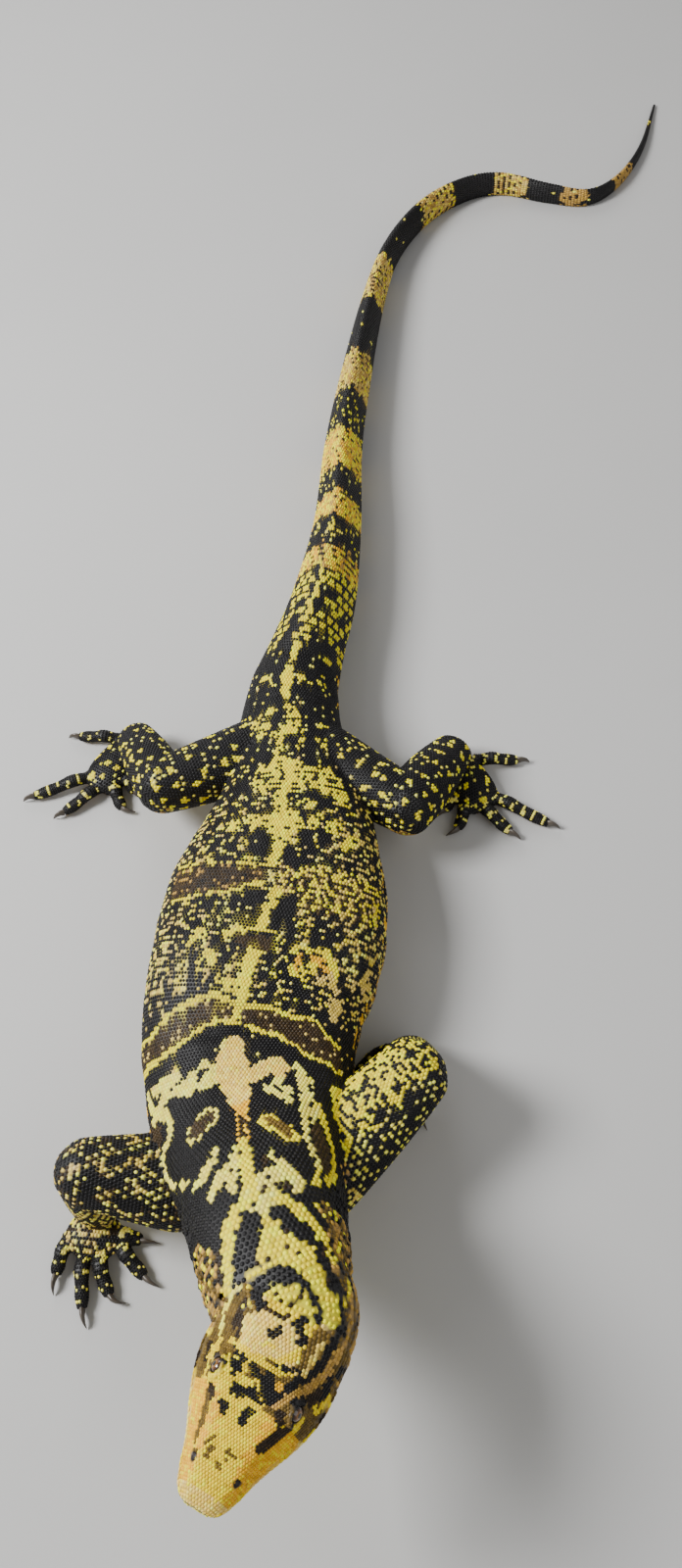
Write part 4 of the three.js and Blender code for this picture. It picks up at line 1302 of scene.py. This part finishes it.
def scale_tree():
    """Nodes that set one scale on every point, turned to its lie and sized by its attributes."""
    tree = bpy.data.node_groups.new("scales_on_hide", "GeometryNodeTree")
    sockets = {}
    for name, way, kind in (("Geometry", "INPUT", "Geometry"), ("Scale", "INPUT", "Object"),
                            ("Finish", "INPUT", "Material"), ("Geometry", "OUTPUT", "Geometry")):
        made = tree.interface.new_socket(name, in_out=way, socket_type="NodeSocket" + kind)
        sockets[name] = made.identifier
    start = Wire(tree).node("NodeGroupInput")
    points, template, finish = [Wire(tree, socket) for socket in start.socket.node.outputs[:3]]

    def named(name):
        return start.node("GeometryNodeInputNamedAttribute", {"data_type": "FLOAT_VECTOR"}, {"Name": name})

    scale = start.node("GeometryNodeObjectInfo", (), {"Object": template}, out="Geometry")
    turned = start.node("FunctionNodeAxesToRotation", {"primary_axis": "Z", "secondary_axis": "Y"},
                        {"Primary Axis": named("up"), "Secondary Axis": named("lie")})
    placed = start.node("GeometryNodeInstanceOnPoints", (),
                        {"Points": points, "Instance": scale, "Rotation": turned, "Scale": named("size")})
    solid = start.node("GeometryNodeRealizeInstances", (), {"Geometry": placed})
    patch = start.node("ShaderNodeVectorMath", {"operation": "ADD"},
                       {0: named("patch_at"), 1: named("patch_offset")})
    mapped = start.node("GeometryNodeStoreNamedAttribute", {"data_type": "FLOAT2", "domain": "CORNER"},
                        {"Geometry": solid, "Name": "OFBake", "Value": patch})
    finished = start.node("GeometryNodeSetMaterial", (), {"Geometry": mapped, "Material": finish})
    start.node("NodeGroupOutput", (), {0: finished})
    return tree, sockets


tree, tree_sockets = scale_tree()


def coat_piece(name, chosen, template, patch_at):
    """A sheet of scales from the chosen roots, as one plain mesh."""
    piece = mesh_piece(name, roots["place"][chosen] * 0.001)
    size = roots["size"][chosen] * 0.001 * (0.95, 0.97, 1)
    given = {"up": roots["up"][chosen], "lie": roots["lie"][chosen], "size": size, "patch_at": patch_at}
    for what, values in given.items():
        attribute(piece, what, "FLOAT_VECTOR", values)
    attribute(piece, "tone", "FLOAT_COLOR", tone[chosen])
    modifier = piece.modifiers.new("scales", "NODES")
    modifier.node_group = tree
    modifier[tree_sockets["Scale"]] = template
    modifier[tree_sockets["Finish"]] = coat_material
    plain(piece, name)
    for what in (*given, "patch_offset"):
        if what in piece.data.attributes:
            piece.data.attributes.remove(piece.data.attributes[what])
    return piece


on_body, on_belly = form == 1, np.abs(share) >= belly_share
body_parts = (
    ("coat_belly", -1, 645, True, "skin_back", bead_scale),
    ("coat_neck", -1, 90, False, "skin_neck", bead_scale),
    ("coat_shoulders", 90, 205, False, "skin_back", bead_scale),
    ("coat_back_front", 205, 300, False, "skin_back", bead_scale),
    ("coat_back_middle", 300, 395, False, "skin_back", bead_scale),
    ("coat_back_rear", 395, 500, False, "skin_back", bead_scale),
    ("coat_rump", 500, 645, False, "skin_back", bead_scale),
    ("coat_tail_base", 645, 1000, None, "skin_tail", keeled_scale),
    ("coat_tail_end", 1000, 2000, None, "skin_tail", keeled_scale),
)
coat_parts = [("coat_head", form == 0, "skin_head", plate_scale)]
for name, low, end, below, slot, template in body_parts:
    level = True if below is None else on_belly == below
    coat_parts.append((name, on_body & (s >= low) & (s < end) & level, slot, template))
for name in limb_forms:
    own = [i for i, (owner, _) in enumerate(forms) if owner == name]
    coat_parts.append((f"coat_{name}", np.isin(form, own), "skin_limb", bead_scale))
for name, chosen, slot, template in coat_parts:
    # a flat map of the sheet: along the animal, and one strip beside another for each form
    strips = np.unique(form[chosen])
    run = s[chosen]
    across = (np.searchsorted(strips, form[chosen]) + 0.5 + 0.46 * share[chosen]) / len(strips)
    along = (run - run.min()) / (run.max() - run.min())
    patch_at = np.stack([0.01 + 0.98 * along, 0.01 + 0.98 * across, 0 * run], axis=1)
    piece = coat_piece(name, chosen, template, patch_at)
    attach(piece, "root")
for template in (bead_scale, plate_scale, keeled_scale):
    bpy.data.objects.remove(template)


# Hide between the scales: the same markings, darker, with a fine grain. The hide inside the line of the
# mouth, the eye sockets, the nostrils and the ear openings is painted nearly black, as painted shade in
# these hollows.
def hide_finish(start):
    grain = start.noise(0.0011, 2.0)
    return {"Base Color": tone_of(start), "Roughness": 0.42 + grain * 0.2,
            "Normal": bump(start, grain, 0.00025)}


owner, _ = nearest(tree_of(roots["place"]), hide.points)
darkening = np.where(form[owner] == 0, 0.8, np.where(pale[owner, 0] > 0.5, 0.66, 0.45))
between_scales = tone[owner] * darkening[:, None]
# painted shade: the hide in the line of the mouth, the eye sockets, the nostrils and the ear openings is
# coloured nearly black to stand for the shade inside them
painted_hollow_shade = nearest(tree_of(lip_line), hide.points)[1] < 1.35
for centre, radii, _ in openings:
    painted_hollow_shade |= np.linalg.norm((hide.points - centre) @ head_turn / radii, axis=1) < 1.04
between_scales[painted_hollow_shade] = (0.016, 0.009, 0.007)
attribute(skin, "tone", "FLOAT_COLOR", between_scales)
skin.data.materials.clear()
skin.data.materials.append(material("hide", hide_finish))
flesh_nodes = ["head", "neck", "torso"] + [f"tail_{i}" for i in range(1, 7)]
flesh_nodes += [f"{limb}_{part}" for limb in limbs for part in ("upper", "lower", "foot")]
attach(skin, "root")
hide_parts(*flesh_nodes)


# Eyes: glossy dark balls in the sockets, with a round pupil in a brown iris ringed with gold.
# Each is one closed ball behind the swollen rim of its lids, and it looks out and a little up.
def eye_finish(start):
    return {"Base Color": tone_of(start), "Roughness": 0.04, "Coat Weight": 0.6}


eye_material = material("eye", eye_finish)
# angle away from the line of sight, and the colour there
iris_rings = np.array([
    (0.0, 0.002, 0.002, 0.002), (0.27, 0.002, 0.002, 0.002), (0.31, 0.42, 0.22, 0.05),
    (0.38, 0.20, 0.085, 0.025), (0.60, 0.075, 0.030, 0.012), (0.78, 0.018, 0.010, 0.007),
    (3.2, 0.012, 0.008, 0.006),
])
for name, side in (("eye_left", 1), ("eye_right", -1)):
    centre = in_head(on_side(eye_place, side))
    points, faces = closed_form(ball(centre, (eye_radius,) * 3, 96))
    outward = head_turn @ on_side(eye_outward, side)
    turned_away = np.arccos(np.clip(unit(points - centre) @ outward, -1, 1))
    eye = mesh_piece(f"{name}_ball", points * 0.001, faces, eye_material)
    iris = [np.interp(turned_away, iris_rings[:, 0], iris_rings[:, k]) for k in (1, 2, 3)]
    attribute(eye, "tone", "FLOAT_COLOR", np.column_stack(iris))
    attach(eye, "root")
    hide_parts(name)


# Claws: dark, curved and sharp, of horn that is worn paler in places, one at the end of each
# toe. The five of a foot make one piece.
def claw_finish(start):
    worn = start.noise(0.004)
    return {"Base Color": worn.between((0.030, 0.024, 0.020, 1), (0.10, 0.080, 0.060, 1)),
            "Roughness": 0.26 + worn * 0.2, "Normal": bump(start, start.noise(0.0012), 0.0001)}


claw_material = material("claw", claw_finish)
for name, five_claws in claw_rows.items():
    claws = [Form("claw", rows, limb_section, 0, 3) for rows in five_claws]
    points, faces = joined([closed_form(claw.rings(0.7, 24)) for claw in claws])
    piece = mesh_piece(f"claws_{name}", points * 0.001, faces, claw_material)
    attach(piece, "root")
    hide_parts(*[f"{name}_claw_{i + 1}" for i in range(5)])
